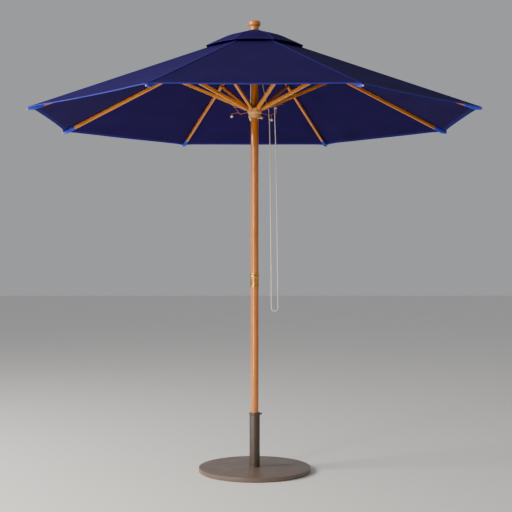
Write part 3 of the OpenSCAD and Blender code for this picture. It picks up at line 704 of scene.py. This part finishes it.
# ---------------------------------------------------------------- pole and turned pieces
def make_pole():
    bore, deep, edge = 12.3 * MM, 0.1, 1.2 * MM
    lower = turn(rounded([(0, POLE_LOW), (POLE_R, POLE_LOW), (POLE_R, JOINT_LOW), (bore, JOINT_LOW),
                          (bore, JOINT_LOW - deep), (0, JOINT_LOW - deep)], edge, 3), 64)
    grain(lower, (2, 0, 1))
    put(lower, "pole_lower_half", POLE_WOOD, "lower_pole", "wood", ["lower_pole"])
    upper = turn(rounded([(0, JOINT_HIGH), (POLE_R, JOINT_HIGH), (POLE_R, POLE_TOP), (0, POLE_TOP)],
                         edge, 3), 64)
    sheave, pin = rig.box("sheave"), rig.box("lock_pin")
    through = 0.06
    mortise = (through, 9 * MM, sheave[1].z - sheave[0].z + 26 * MM)
    pin_hole = rod(4.3 * MM, through, (0, 0, (pin[0].z + pin[1].z) / 2), (math.pi / 2, 0, math.pi / 4))
    cut(upper, block(mortise, (0, 0, SHEAVE_Z), math.pi / 4), pin_hole)
    grain(upper, (2, 0, 1))
    put(upper, "pole_upper_half", POLE_WOOD, "upper_pole", "wood", ["upper_pole"])
    sleeve = turn(rounded([
        (FIXED_R, FERRULE_LOW), (POLE_R + 1.6 * MM, FERRULE_LOW),
        (POLE_R + 1.8 * MM, FERRULE_LOW + 6 * MM), (POLE_R + 1.2 * MM, FERRULE_LOW + 7 * MM),
        (POLE_R + 1.2 * MM, JOINT_LOW - 9 * MM), (POLE_R + 2 * MM, JOINT_LOW - 8 * MM),
        (POLE_R + 2 * MM, JOINT_LOW), (FIXED_R, JOINT_LOW), (FIXED_R, FERRULE_LOW)], 0.6 * MM, 3), 64)
    put(sleeve, "joint_sleeve", BRASS, "lower_pole", "brass", ["lower_ferrule"])
    third, wall = (RING_TOP - JOINT_HIGH) / 3, FIXED_R + 1.2 * MM
    bulge = [(wall + 1.8 * MM * math.sin(math.pi * i / 10), JOINT_HIGH + 1.6 * third * i / 10)
             for i in range(11)]
    ring = turn([(FIXED_R, JOINT_HIGH)] + bulge + rounded(
        [(wall, JOINT_HIGH + 1.7 * third), (wall, RING_TOP - 3 * MM),
         (FIXED_R + 2 * MM, RING_TOP - 2 * MM), (FIXED_R + 1.6 * MM, RING_TOP), (FIXED_R, RING_TOP)],
        0.5 * MM, 2) + [(FIXED_R, JOINT_HIGH)], 64)
    put(ring, "joint_ring", BRASS, "upper_pole", "brass", ["upper_ring"])


def slot_tools(z):
    """A cutter for each of a hub's eight slots."""
    middle = PIVOT_R - TONGUE_R - 0.5 * MM + HUB_R / 2
    return [block((HUB_R, TONGUE_W + 0.4 * MM, SLOT_TALL),
                  (middle * math.cos(azimuth(k)), middle * math.sin(azimuth(k)), z), azimuth(k))
            for k in range(1, COUNT + 1)]


def cut_slots(hub, z, rise, *tools):
    slots = slot_tools(z)
    for tool in slots:
        tool.data.transform(Matrix.Translation((0, 0, rise)))
    cut(hub, *tools, *slots)


def make_hubs():
    shoulder = 2 * CROWN_Z - CROWN_LOW
    stud, top = 4.2 * MM, POLE_TOP + 0.05 * MM
    crown = turn(rounded([
        (FIXED_R, CROWN_LOW), (HUB_R, CROWN_LOW), (HUB_R, shoulder), (27 * MM, shoulder),
        (26 * MM, CROWN_TOP), (stud, CROWN_TOP), (stud, top), (FIXED_R, top), (FIXED_R, CROWN_LOW)],
        1.5 * MM), 96)
    cut_slots(crown, CROWN_Z, -SLOT_TALL / 2 + 2 * CROWN_Z - CROWN_LOW - CROWN_Z)
    grain(crown, (0, 1, 2))
    put(crown, "crown_hub", KNOB_WOOD, "upper_pole", "knob_wood", ["crown"])
    waist = RUNNER_LOW + (RUNNER_TOP - RUNNER_LOW) * 0.42
    runner = turn(rounded([
        (SLIDING_R, RUNNER_LOW), (PIVOT_R, RUNNER_LOW), (PIVOT_R, waist), (HUB_R, waist + 5 * MM),
        (HUB_R, RUNNER_TOP), (SLIDING_R, RUNNER_TOP), (SLIDING_R, RUNNER_LOW)], 2 * MM), 96)
    aside = -ROPE_LANE * MM * math.cos(math.pi / 4), -ROPE_LANE * MM * math.sin(math.pi / 4)
    rope_hole = rod(3.25 * MM, 0.1, (*aside, RUNNER_Z), (0, 0, 0), 24)
    cut_slots(runner, RUNNER_TOP - 8.5 * MM, SLOT_TALL / 2 - 9.5 * MM, rope_hole)
    grain(runner, (2, 0, 1))
    put(runner, "runner_hub", HUB_WOOD, "runner", "runner_wood", ["runner"])


def make_finial():
    low, tall = FINIAL_LOW, FINIAL_TOP - FINIAL_LOW
    neck, widest, stud = 25 * MM, 34 * MM, 4.3 * MM
    knob = turn(rounded([
        (stud, low), (neck - 3 * MM, low), (neck, low + 0.4 * tall),
        (widest - 3 * MM, low + 0.52 * tall), (widest, low + 0.64 * tall), (widest, low + 0.84 * tall),
        (widest - 4 * MM, low + 0.97 * tall), (widest - 9 * MM, low + tall), (0, low + tall)],
        4 * MM, 5), 72, 45)
    grain(knob, (2, 0, 1))
    put(knob, "finial_knob", KNOB_WOOD, "finial", "knob_wood", ["finial"])
    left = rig.box("finial")[0].x
    peg = turn(rounded([(0, 0), (4.5 * MM, 0), (4.5 * MM, 22 * MM), (3.6 * MM, 24 * MM), (0, 24 * MM)],
                       1 * MM, 3), 32)
    peg.data.transform(tilted((left + 24 * MM, 0, low + 0.6 * tall), -math.pi / 2))
    grain(peg, (0, 1, 2))
    put(peg, "finial_peg", HUB_WOOD, "finial", "knob_wood")


def make_lock_pin():
    low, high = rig.box("lock_pin")
    z = (low.z + high.z) / 2
    head = 48 * MM
    place = (Matrix.Rotation(-math.pi / 4, 4, "Z") @ Matrix.Translation((0, 0, z))
             @ Matrix.Rotation(math.pi / 2, 4, "Y"))
    shaft = turn(rounded([(0, -34 * MM), (4 * MM, -33 * MM), (4 * MM, head + 2 * MM),
                          (0, head + 2 * MM)], 1 * MM, 3), 32)
    shaft.data.transform(place)
    put(shaft, "lock_pin_shaft", STEEL, "lock_pin", "steel", ["lock_pin"])
    knob = turn(rounded([(0, head), (5 * MM, head), (7 * MM, head + 4 * MM), (7 * MM, head + 10 * MM),
                         (5 * MM, head + 13 * MM), (0, head + 13 * MM)], 2.5 * MM, 4), 32)
    grain(knob, (2, 0, 1))
    knob.data.transform(place)
    put(knob, "lock_pin_head", HUB_WOOD, "lock_pin", "runner_wood")


# ---------------------------------------------------------------- ribs and struts
def bar(start, end, width, height):
    """A bar along X with rounded long edges, still in edit mode."""
    deselect()
    bpy.ops.mesh.primitive_cube_add(size=1, location=((start + end) / 2, 0, 0))
    obj = bpy.context.object
    obj.scale = (end - start, width, height)
    bpy.ops.object.transform_apply(location=True, rotation=True, scale=True)
    edit(obj, "EDGE")
    pick(obj, "edges", lambda e: abs(e.verts[0].co.x - e.verts[1].co.x) > 0.1)
    bpy.ops.mesh.bevel(offset=2.2 * MM, segments=4, affect="EDGES")
    bpy.ops.mesh.select_mode(type="FACE")
    return obj


def end_face(obj, sign):
    pick(obj, "faces", lambda f: f.normal.x * sign > 0.9)


def extrude_end(dx, wide=1.0, tall=1.0, up=0.0):
    """Carries the selected end on by dx, then scales it across and moves it up."""
    bpy.ops.mesh.extrude_region_move(TRANSFORM_OT_translate={"value": (dx, 0, up)})
    bpy.ops.transform.resize(value=(1, wide, tall))


def round_tongue(obj, sign, body, shoulder, width, height):
    """A thinner tongue on the end of a bar, round about its pivot."""
    end_face(obj, sign)
    extrude_end(sign * 0.6 * MM, 0.94, 0.94)
    extrude_end(0, width / (0.94 * body[0]), height / (0.94 * body[1]))
    extrude_end(sign * (shoulder - 0.6 * MM))
    reach, last = 0, 1
    for angle in (25, 45, 62, 76, 86):
        along = height / 2 * math.sin(math.radians(angle))
        scale = math.cos(math.radians(angle))
        extrude_end(sign * (along - reach), 1, scale / last)
        reach, last = along, scale


def make_ribs():
    tip = 21 * MM
    rib = bar(TONGUE_LEN, RIB_LEN - tip, RIB_W, RIB_H)
    round_tongue(rib, -1, (RIB_W, RIB_H), TONGUE_LEN, TONGUE_W, 2 * TONGUE_R)
    end_face(rib, 1)
    extrude_end(1 * MM, 0.9, 0.9)
    extrude_end(0, 0.63, 0.5, 1 * MM)
    extrude_end(tip - 3 * MM)
    extrude_end(2 * MM, 0.7, 0.7)
    close(rib, 35)
    strut = bar(14 * MM, STRUT_LEN - TONGUE_LEN, STRUT_W, STRUT_H)
    round_tongue(strut, -1, (STRUT_W, STRUT_H), 14 * MM, RIB_W - 0.6 * MM, 16 * MM)
    round_tongue(strut, 1, (STRUT_W, STRUT_H), TONGUE_LEN, TONGUE_W, 2 * TONGUE_R)
    close(strut, 35)
    for k in range(1, COUNT + 1):
        around = Matrix.Rotation(azimuth(k), 4, "Z")
        for master, name, place in (
                (rib, "rib", tilted((PIVOT_R, 0, CROWN_Z), SLOPE)),
                (strut, "strut", tilted((ELBOW_R, 0, ELBOW_Z), math.pi - STRUT_ANGLE))):
            piece = copied(master)
            grain(piece)
            piece.data.transform(around @ place)
            put(piece, f"wooden_{name}_{k}", WOOD, f"{name}_{k}", "wood", [f"{name}_{k}"])
    remove(rib, strut)


# ---------------------------------------------------------------- canopy
GORE_WAVES = [[(DICE.uniform(0.5, 1.4), DICE.uniform(0, math.tau)) for _ in range(3)]
              for _ in range(COUNT)]
SAG = 9 * MM


def main_height(p):
    return PEAK_Z - math.tan(SLOPE) * p


def cap_height(p):
    """The vent cap: a flat top that bends down to its rim, with the bend eased."""
    top_fall = (CAP_INNER_Z - CAP_BEND_Z) / (CAP_BEND - CAP_INNER)
    past, ease = p - CAP_BEND, 25 * MM
    turned = 0 if past < -ease else past if past > ease else (past + ease) ** 2 / (4 * ease)
    return CAP_INNER_Z - (p - CAP_INNER) * top_fall - turned * (CAP_FALL - top_fall)


MAIN = dict(rim=RIM_R, height=main_height, curve=HEM_CURVE, pull=CORNER_PULL, sag=SAG)
CAP = dict(rim=CAP_R, height=cap_height, curve=3 * MM, pull=2 * MM, sag=-4 * MM)


def cloth_point(r, u, side, k, lift=0.0, rim=0.0, height=None, curve=0.0, pull=0.0, sag=0.0):
    """A point of the cloth in rib k's section: r on the ridge, u from the ridge to the seam."""
    share = r / rim
    inward = (curve * (1 - (1 - u) ** 2) + pull * (1 - (1 - u) ** 12)) * share ** 7
    x = r - u * r * math.sin(HALF) ** 2 - inward * math.cos(HALF)
    y = u * r * math.cos(HALF) * math.sin(HALF) - inward * math.sin(HALF)
    gore = (k - 1) % COUNT if side > 0 else (k - 2) % COUNT
    waves = sum(size * math.sin(phase + 9 * n * share)
                for n, (size, phase) in enumerate(GORE_WAVES[gore], 1))
    depth = sag * share * (1 - (1 - u) ** 2) * (1 + 0.12 * waves)
    pleat = (0.12 * sag * math.sin(math.pi * min(1, 2 * u)) ** 2 * math.sin(22 * share + waves)
             * share ** 3)
    z = height(x + y * math.tan(HALF)) - depth + pleat + lift
    angle = azimuth(k)
    y *= side
    return Vector((x * math.cos(angle) - y * math.sin(angle),
                   x * math.sin(angle) + y * math.cos(angle), z))


def grid(name, rows, columns, point, cloth_uv, flip, ring=False):
    """Faces through point(i, j); a ring joins its last column to the first and closes its ends."""
    mesh = bmesh.new()
    layer = mesh.loops.layers.uv.new("cloth")
    count = columns if ring else columns + 1
    points = [[mesh.verts.new(point(i, j)) for j in range(count)] for i in range(rows + 1)]
    faces = []
    for i in range(rows):
        for j in range(columns):
            cell = [(i, j), (i + 1, j), (i + 1, j + 1), (i, j + 1)]
            faces.append(cell[::-1] if flip else cell)
    for cell in faces:
        face = mesh.faces.new([points[i][j % count] for i, j in cell])
        face.smooth = True
        for loop, (i, j) in zip(face.loops, cell):
            loop[layer].uv = cloth_uv(i, j)
    if ring:
        for i in (0, rows):
            face = mesh.faces.new(points[i])
            for loop, j in zip(face.loops, range(count)):
                loop[layer].uv = cloth_uv(i, j)
        bmesh.ops.recalc_face_normals(mesh, faces=mesh.faces)
    data = bpy.data.meshes.new(name)
    mesh.to_mesh(data)
    mesh.free()
    obj = bpy.data.objects.new(name, data)
    bpy.context.scene.collection.objects.link(obj)
    return obj


def start_u(r):
    """Where the half begins beside the rib: a fixed width from the ridge."""
    return BAND_HALF / (r * math.cos(HALF) * math.sin(HALF))


def fold_in(piece, k, side, keep):
    """Flattens a half of the cloth against its rib as the canopy closes."""
    angle = azimuth(k)
    tangent = Vector((-math.sin(angle), math.cos(angle), 0))
    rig.squash(piece, f"rib_{k}_fold", axis=tangent, anchor=tangent * BAND_HALF * side, keep=keep)


def cloth_half(k, side, name, low, rows, columns, keep, shape):
    """Half a section of cloth, from beside the rib to the middle of the panel."""
    high = shape["rim"]

    def spread(i, j):
        r = low + (high - low) * i / rows
        begin = start_u(r)
        return r, begin + (1 - begin) * (j / columns) ** EASE

    def point(i, j):
        return cloth_point(*spread(i, j), side, k, **shape)

    def cloth_uv(i, j):
        r, u = spread(i, j)
        return u * r * math.sin(HALF), r / math.cos(SLOPE)

    sheet = grid(f"{name}_{SIDE_WORD[side]}_{k}", rows, columns, point, cloth_uv, side < 0)
    flat_area = sum(f.area for f in sheet.data.polygons)
    modify(sheet, "SOLIDIFY", thickness=CLOTH_T, offset=-1)
    close(sheet, 40)
    long = (high - low) / math.cos(SLOPE)
    wide = high * math.sin(HALF)
    put(sheet, sheet.name, NAVY, f"rib_{k}", "navy_canvas", [f"canopy_{k}"])
    fold_in(sheet, k, side, keep)
    return sheet, (wide, long), flat_area


def edge_strip(k, side, name, section, look, keep, columns, shape):
    """A closed strip along an outer edge of the cloth; section holds (inward, up) points."""
    def point(i, j):
        deep, up = section[j]
        here = shape["rim"] - deep
        begin = start_u(here)
        u = begin + (1 - begin) * (i / columns) ** EASE
        return cloth_point(here, u, side, k, lift=up, **shape)

    def cloth_uv(i, j):
        return (i / columns) ** EASE * shape["rim"] * math.sin(HALF), section[j % len(section)][0]

    piece = close(grid(f"{name}_{SIDE_WORD[side]}_{k}", columns, len(section), point, cloth_uv,
                       side < 0, ring=True), 60)
    put(piece, piece.name, look, f"rib_{k}", "navy_canvas")
    fold_in(piece, k, side, keep)
    return piece


def hem_section(width, thick):
    """A folded hem about the cloth's edge, as (inward, up) points."""
    return [(width, 0.2 * thick), (width - 2 * MM, thick), (3 * MM, thick), (0.4 * MM, 0.7 * thick),
            (-0.6 * MM, -0.4 * MM), (0.4 * MM, -CLOTH_T - 0.5 * thick), (3 * MM, -CLOTH_T - thick),
            (width - 2 * MM, -CLOTH_T - thick), (width, -CLOTH_T - 0.2 * thick)]


def cord_section(radius, centre):
    return [(centre + radius * math.cos(a), -CLOTH_T / 2 + radius * math.sin(a))
            for a in [math.tau * i / 8 for i in range(8)]]


def ridge_band(k, name, low, rows, look, shape):
    """The seam that lies over a rib, from the vent to the corner."""
    half_width = BAND_HALF + 1.5 * MM
    high = shape["rim"] - 1 * MM
    across = [-1, -0.97, -0.6, -0.2, 0.2, 0.6, 0.97, 1]

    def point(i, j):
        r = low + (high - low) * i / rows
        t = across[j] * half_width
        u = abs(t) / (r * math.cos(HALF) * math.sin(HALF))
        up = (0.1 if abs(across[j]) == 1 else 1.1) * MM
        return cloth_point(r, u, 1 if t > 0 else -1, k, lift=up, **shape)

    def cloth_uv(i, j):
        return (low + (high - low) * i / rows) / math.cos(SLOPE), across[j] * half_width

    band = grid(f"{name}_{k}", rows, len(across) - 1, point, cloth_uv, False)
    modify(band, "SOLIDIFY", thickness=CLOTH_T + 1.1 * MM, offset=-1)
    return put(band, band.name, look, f"rib_{k}", "navy_canvas")


def loft(name, stations, sides):
    """A closed skin through rounded rectangles, given as (along, half width, half height, rise)."""
    def point(i, j):
        along, wide, tall, rise = stations[i]
        a = math.tau * j / sides
        c, d = math.cos(a), math.sin(a)
        size = (abs(c) ** 4 + abs(d) ** 4) ** -0.25
        return Vector((along, wide * c * size, rise + tall * d * size))

    def cloth_uv(i, j):
        return j / sides * 0.07, stations[i][0] - stations[0][0]

    return grid(name, len(stations) - 1, sides, point, cloth_uv, False, ring=True)


def make_pocket(k):
    """The sewn pocket that holds a rib's end at the corner of the canopy, and the rib's small tip."""
    end = RIB_LEN + 4 * MM
    pocket = loft(f"rib_pocket_{k}", [(end + x * MM, w * MM, t * MM, z * MM) for x, w, t, z in (
        (-86, 7.4, 9.4, 0.3), (-87, 8.2, 10.2, 0.2), (-85, 9, 10.8, 0), (-81, 8.8, 10.6, 0),
        (-78, 8.5, 10.3, 0.1), (-60, 9.2, 10.8, 0), (-30, 9.6, 10.8, 0), (-22, 9, 10.2, 0.6),
        (-12, 7.4, 7.6, 2.6), (-4, 6.6, 6.6, 3.6), (-1, 6.2, 6.2, 3.8), (0, 5, 5, 4))], 28)
    tip = turn(rounded([(0, 0), (3.6 * MM, 0), (3.6 * MM, 5 * MM), (2 * MM, 7.5 * MM), (0, 7.5 * MM)],
                       1.2 * MM, 3), 24)
    tip.data.transform(tilted((end - 1 * MM, 0, 4 * MM), math.pi / 2))
    grain(tip)
    place = (Matrix.Rotation(azimuth(k), 4, "Z") @ Matrix.Translation((PIVOT_R, 0, CROWN_Z))
             @ Matrix.Rotation(SLOPE, 4, "Y"))
    for piece in (pocket, tip):
        piece.data.transform(place)
    put(close(pocket, 60), pocket.name, POCKET, f"rib_{k}", "navy_canvas")
    put(tip, f"rib_tip_{k}", HUB_WOOD, f"rib_{k}", "wood")


def make_canopy():
    for k in range(1, COUNT + 1):
        for side in (1, -1):
            # The main canopy's piping takes the lighter blue of the painted highlight; the cap's piping takes the
            # darker seam cloth.
            for name, low, rows, columns, keep, shape, hem_w, trim, rest in (
                    ("canopy", VENT_R, 44, 16, 0.025, MAIN, 20 * MM, PIPING_PAINTED_HIGHLIGHT, f"wooden_rib_{k}"),
                    ("vent_cap", CAP_INNER, 18, 10, 0.2, CAP, 14 * MM, BAND_PAINTED_HIGHLIGHT, "cap_washer")):
                panel, size, area = cloth_half(k, side, f"{name}_cloth", low, rows, columns, keep, shape)
                fold, cord = hem_section(hem_w, 0.8 * MM), cord_section(2.4 * MM, -1.8 * MM)
                hem = edge_strip(k, side, f"{name}_hem", fold, HEM_PAINTED_HIGHLIGHT, keep, 24, shape)
                edge = edge_strip(k, side, f"{name}_piping", cord, trim, keep, 24, shape)
                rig.sheet(panel, flat=size, held="stretched", rests_on=[rest], area=area,
                         with_pieces=[hem, edge])
        ridge_band(k, "ridge_seam", 60 * MM, 50, BAND_PAINTED_HIGHLIGHT, MAIN)
        ridge_band(k, "cap_seam", CAP_INNER + 8 * MM, 14, BAND_PAINTED_HIGHLIGHT, CAP)
        make_pocket(k)
    make_apex()


def make_apex():
    """The round patch between washer and finial, which stays on the crown when the canopy folds."""
    thick, washer_top = 0.9 * MM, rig.box("cap_washer")[1].z
    radii = [27, 31, 35, 40, 44]
    top = [(5 * MM, washer_top + 1 * MM), (25 * MM, washer_top + 1 * MM)]
    top += [(r * MM, cap_height(r * MM * math.cos(HALF / 2)) + 2.6 * MM) for r in radii]
    low = [(r, z - thick) for r, z in top[::-1]]
    patch = turn(top + low + [top[0]], 96, 50)
    layer = patch.data.uv_layers[0] if patch.data.uv_layers else patch.data.uv_layers.new()
    layer.name = "cloth"
    for loop in patch.data.loops:
        co = patch.data.vertices[loop.vertex_index].co
        layer.data[loop.index].uv = (co.x, co.y)
    put(patch, "apex_patch", BAND_PAINTED_HIGHLIGHT, "upper_pole", "navy_canvas")
    inner, outer = top[0][0], top[-1][0]
    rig.sheet(patch, flat=(2 * outer, 2 * outer), held="stretched", rests_on=["cap_washer"],
             area=math.pi * (outer ** 2 - inner ** 2))


# ---------------------------------------------------------------- rope, beads and wires
OUT = Vector((math.cos(math.pi / 4), math.sin(math.pi / 4), 0))
UP = Vector((0, 0, 1))
ROPE_D = 5.5 * MM
EYE = Vector((80, 80, 1985)) * MM
END_EYE = Vector((113, 80, 1994)) * MM
LEFT_BEAD = Vector((-127, 0, 1966)) * MM
LOW_BEAD = Vector((95, 80, 1958)) * MM
ROPE_ROUND = 17.2 * MM
ROPE_MOUTH = POLE_R + 3.6 * MM
ROPE_LAY = 0.03                 # the length in which the rope's strands turn once
GIRTH = 0.02                    # the way around a cord or wire on its UV map
LOOP_R = 18 * MM
LOOP_CENTRE = Vector((113, 80, 900)) * MM
LOOP_END = (131, 80, 920)
BEAD_R = 8 * MM


def points(*given):
    return [Vector(p) * MM for p in given]


def smooth(path, step):
    """A curve through the given points, with a point about every step."""
    ends = [2 * path[0] - path[1], *path, 2 * path[-1] - path[-2]]
    out = []
    for a, b, c, d in zip(ends, ends[1:], ends[2:], ends[3:]):
        count = max(1, round((c - b).length / step))
        k0, k1, k2 = (max((q - p).length, 1e-6) ** 0.5 for p, q in ((a, b), (b, c), (c, d)))
        m1 = (b - a) / k0 - (c - a) / (k0 + k1) + (c - b) / k1
        m2 = (c - b) / k1 - (d - b) / (k1 + k2) + (d - c) / k2
        for i in range(count):
            t = i / count
            out.append(b * (2 * t ** 3 - 3 * t ** 2 + 1) + c * (3 * t ** 2 - 2 * t ** 3)
                       + m1 * k1 * (t ** 3 - 2 * t ** 2 + t) + m2 * k1 * (t ** 3 - t ** 2))
    return out + [path[-1]]


def length_of(path):
    return sum((b - a).length for a, b in zip(path, path[1:]))


def tube(name, path, radius_at, sides):
    """A tube along a path; radius_at(angle, distance) gives its radius, and it doesn't twist."""
    side = None
    rings, distances = [], []
    run = 0
    for i, here in enumerate(path):
        ahead = (path[min(i + 1, len(path) - 1)] - path[max(i - 1, 0)]).normalized()
        if side is None:
            side = ahead.orthogonal().normalized()
        side = (side - ahead * side.dot(ahead)).normalized()
        other = ahead.cross(side)
        run += (here - path[i - 1]).length if i else 0
        distances.append(run)
        rings.append([here + radius_at(a, run) * (side * math.cos(a) + other * math.sin(a))
                      for a in [math.tau * j / sides for j in range(sides)]])
    return grid(name, len(path) - 1, sides, lambda i, j: rings[i][j % sides],
                lambda i, j: (distances[i], j / sides * GIRTH), False, ring=True)


def laid(angle, run):
    """The outline of a rope laid from three strands."""
    strand = abs(math.cos(1.5 * (angle - math.tau * run / ROPE_LAY)))
    return ROPE_D / 2 * (0.84 + 0.2 * strand)


def make_rope():
    lift = OUT * -ROPE_LANE * MM
    over = [UP * SHEAVE_Z + ROPE_ROUND * (UP * math.sin(a) - OUT * math.cos(a))
            for a in [math.radians(15 * i) for i in range(1, 12)]]
    under = [LOOP_CENTRE + LOOP_R * (Vector((-1, 0, 0)) * math.cos(a) - UP * math.sin(a))
             for a in [math.radians(165) / 8 * i for i in range(9)]]
    mouth = UP * (SHEAVE_Z - 31 * MM)
    main = [lift + UP * 1.936, lift + UP * 2.02, OUT * -28 * MM + UP * 2.23,
            mouth - OUT * ROPE_MOUTH, *over, mouth + OUT * ROPE_MOUTH, OUT * 33 * MM + UP * 2.27,
            OUT * 58 * MM + UP * 2.17, OUT * 95 * MM + UP * 2.045,
            *points((79, 79, 2008), (80, 80, 1985), (82, 80, 1960), (85, 80, 1850), (89, 80, 1500),
                    (93, 80, 1100), (95, 80, 900)), *under[1:], *points(LOOP_END)]
    back = points(LOOP_END, (129, 80, 1100), (124, 80, 1500), (117, 80, 1850), (113, 80, 1960),
                  (113, 80, 1994), (113, 80, 2022))
    run, rise = smooth(main, 4 * MM), smooth(back, 4 * MM)
    beads = make_beads()
    hoist = tube("hoist_rope_run", run, laid, 12)
    put(hoist, hoist.name, ROPE, "upper_pole", "rope", ["hoist_rope"])
    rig.cord(hoist, exit=run[0], length=length_of(run), diameter=ROPE_D, far_end="object",
            stiffness="limp", lay="hanging", path=run, with_pieces=[beads["rope"]])
    tail = tube("hoist_rope_return", rise, laid, 12)
    put(tail, tail.name, ROPE, "upper_pole", "rope", ["hoist_rope"])
    travel = 2 * STRUT_LEN * (math.sin(STRUT_ANGLE + FOLD) - math.sin(STRUT_ANGLE))
    full = rise[-1].z - rise[0].z
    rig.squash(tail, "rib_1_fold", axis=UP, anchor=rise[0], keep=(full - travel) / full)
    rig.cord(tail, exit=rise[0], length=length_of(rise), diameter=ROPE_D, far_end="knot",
            stiffness="limp", lay="hanging", path=rise, with_pieces=[make_knot(rise[-1])])


def make_knot(at):
    """The knot that ties the rope's end to the hook."""
    turns = []
    for a in [math.tau * i / 90 for i in range(90)]:
        out = 5 + 2.6 * math.cos(3 * a)
        turns.append(at + UP * 2 * MM + MM * Vector((
            out * math.cos(2 * a) + 3, out * math.sin(2 * a), 4 * math.sin(3 * a))))
    knot = tube("hoist_rope_knot", turns + [turns[0]], lambda a, d: 2.4 * MM, 12)
    return put(knot, knot.name, ROPE, "runner", "rope")


def make_beads():
    made = {}
    spots = {"rope": OUT * -ROPE_LANE * MM + UP * (RUNNER_LOW - BEAD_R - 0.3 * MM),
             "right": LOW_BEAD, "left": LEFT_BEAD}
    for name, at in spots.items():
        hole = 3.05 * MM if name == "rope" else 1.8 * MM
        edge = math.asin(hole / BEAD_R)
        arc = [(BEAD_R * math.sin(a), BEAD_R * math.cos(a))
               for a in [edge + (math.pi - 2 * edge) * i / 16 for i in range(17)]]
        bead = turn([(hole, arc[0][1]), *arc[1:-1], (hole, arc[-1][1]), (hole, arc[0][1])], 32, 50)
        bead.data.transform(Matrix.Translation(at))
        grain(bead, (2, 0, 1))
        made[name] = put(bead, f"bead_{name}", BEAD_WOOD, "runner", "bead", ["rope_beads"])
    return made


def make_wires():
    radius = 1.5 * MM
    ring = ROPE_D / 2 + 3.5 * MM
    root, skin = HUB_R - 6 * MM, HUB_R + 3 * MM
    level = UP * (RUNNER_Z - 14.5 * MM)

    def eye(centre):
        return [centre + ring * Vector((math.cos(a), math.sin(a), 0))
                for a in [math.radians(340) * i / 24 for i in range(25)]]

    def bent(*path):
        return smooth(path, 3 * MM)

    link = EYE + Vector((ring + 6 * MM, 0, 3 * MM))
    left_turn = Vector((-88, 0, 1986)) * MM
    runs = {
        "guide_arm": bent(OUT * root + level, OUT * skin + level, OUT * 60 * MM + UP * 1.988,
                          OUT * 85 * MM + UP * 1.987, EYE - OUT * ring),
        "guide_eye": eye(EYE),
        "link": bent(EYE + Vector((ring, 0, 0)), link, END_EYE + Vector((-ring - 6 * MM, 0, -3 * MM)),
                     END_EYE - Vector((ring, 0, 0))),
        "end_eye": eye(END_EYE),
        "right_hook": bent(END_EYE + Vector((ring, 0, 0)), *points(
            (121, 80, 2001), (122, 80, 2018), (129, 80, 2035), (142, 80, 2044), (158, 80, 2047))),
        "right_stem": bent(link, *points((95, 80, 1985), (95, 80, 1975)), LOW_BEAD),
        "left_hook": bent(
            Vector((-root, 0, 0)) + level, Vector((-skin, 0, 0)) + level,
            *points((-62, 0, 1982), (-78, 0, 1979)), left_turn,
            *points((-97, 0, 2000), (-113, 0, 2018), (-134, 0, 2034), (-161, 0, 2045))),
        "left_stem": bent(left_turn, *points(
            (-100, 0, 1985), (-114, 0, 1983.5), (-123, 0, 1981), (-127, 0, 1976)), LEFT_BEAD),
    }
    for name, path in runs.items():
        wire = tube(f"wire_{name}", path, lambda a, d: radius, 10)
        put(wire, wire.name, WIRE, "runner", "wire", ["runner_wires"])


# ---------------------------------------------------------------- CAD nodes that stay
def finish_nodes():
    """Smooths and colours the CAD nodes that show as they are."""
    looks = {"steel": STEEL, "brass": BRASS, "black_plastic": PLASTIC, "rubber": RUBBER,
             "concrete": CONCRETE, "dark_steel": DARK_STEEL, "wire": WIRE}
    slots = {s["node"]: s["material_slot"] for s in frame["record"]["subparts"]}
    for name, node in frame["nodes"].items():
        if node.hide_render:
            continue
        node.data.materials.clear()
        node.data.materials.append(looks[slots[name]])
        node.data.polygons.foreach_set("use_smooth", [True] * len(node.data.polygons))
        weld = node.modifiers.new("weld", "WELD")
        weld.merge_threshold = MM / 100
        split = node.modifiers.new("edges", "EDGE_SPLIT")
        split.split_angle = math.radians(30)


def make_room():
    deselect()
    bpy.ops.mesh.primitive_plane_add(size=60)
    floor = bpy.context.object
    floor.name = "floor"
    made, tree, shader = material("pale_floor", Roughness=0.6)
    at = add(tree, "TexCoord").outputs["Object"]
    shade = blend_colour(tree, noise(tree, at, 0.8), (0.8, 0.785, 0.76, 1), (0.84, 0.825, 0.8, 1))
    tree.links.new(shade, shader["Base Color"])
    floor.data.materials.append(made)
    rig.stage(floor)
    world = bpy.data.worlds.new("studio")
    bpy.context.scene.world = world
    world.use_nodes = True
    sky = world.node_tree.nodes["Background"]
    sky.inputs["Color"].default_value = (0.92, 0.93, 0.96, 1)
    sky.inputs["Strength"].default_value = 0.4
    area_light("key", (-5.2, -1.6, 3.2), (0, 0, 1.4), (2.2, 2.2), 520, (1, 0.96, 0.9))
    area_light("fill", (3.5, -4.6, 1.2), (0, 0, 1.3), (3, 3), 8, (0.95, 0.97, 1))
    area_light("strip", (-2.2, -3.2, 1.25), (0, 0, 1.25), (0.5, 2.4), 84, (1, 0.92, 0.74))


make_camera()
make_rope()
make_wires()
make_stand()
make_pole()
make_hubs()
make_finial()
make_lock_pin()
make_ribs()
make_canopy()
finish_nodes()
make_room()

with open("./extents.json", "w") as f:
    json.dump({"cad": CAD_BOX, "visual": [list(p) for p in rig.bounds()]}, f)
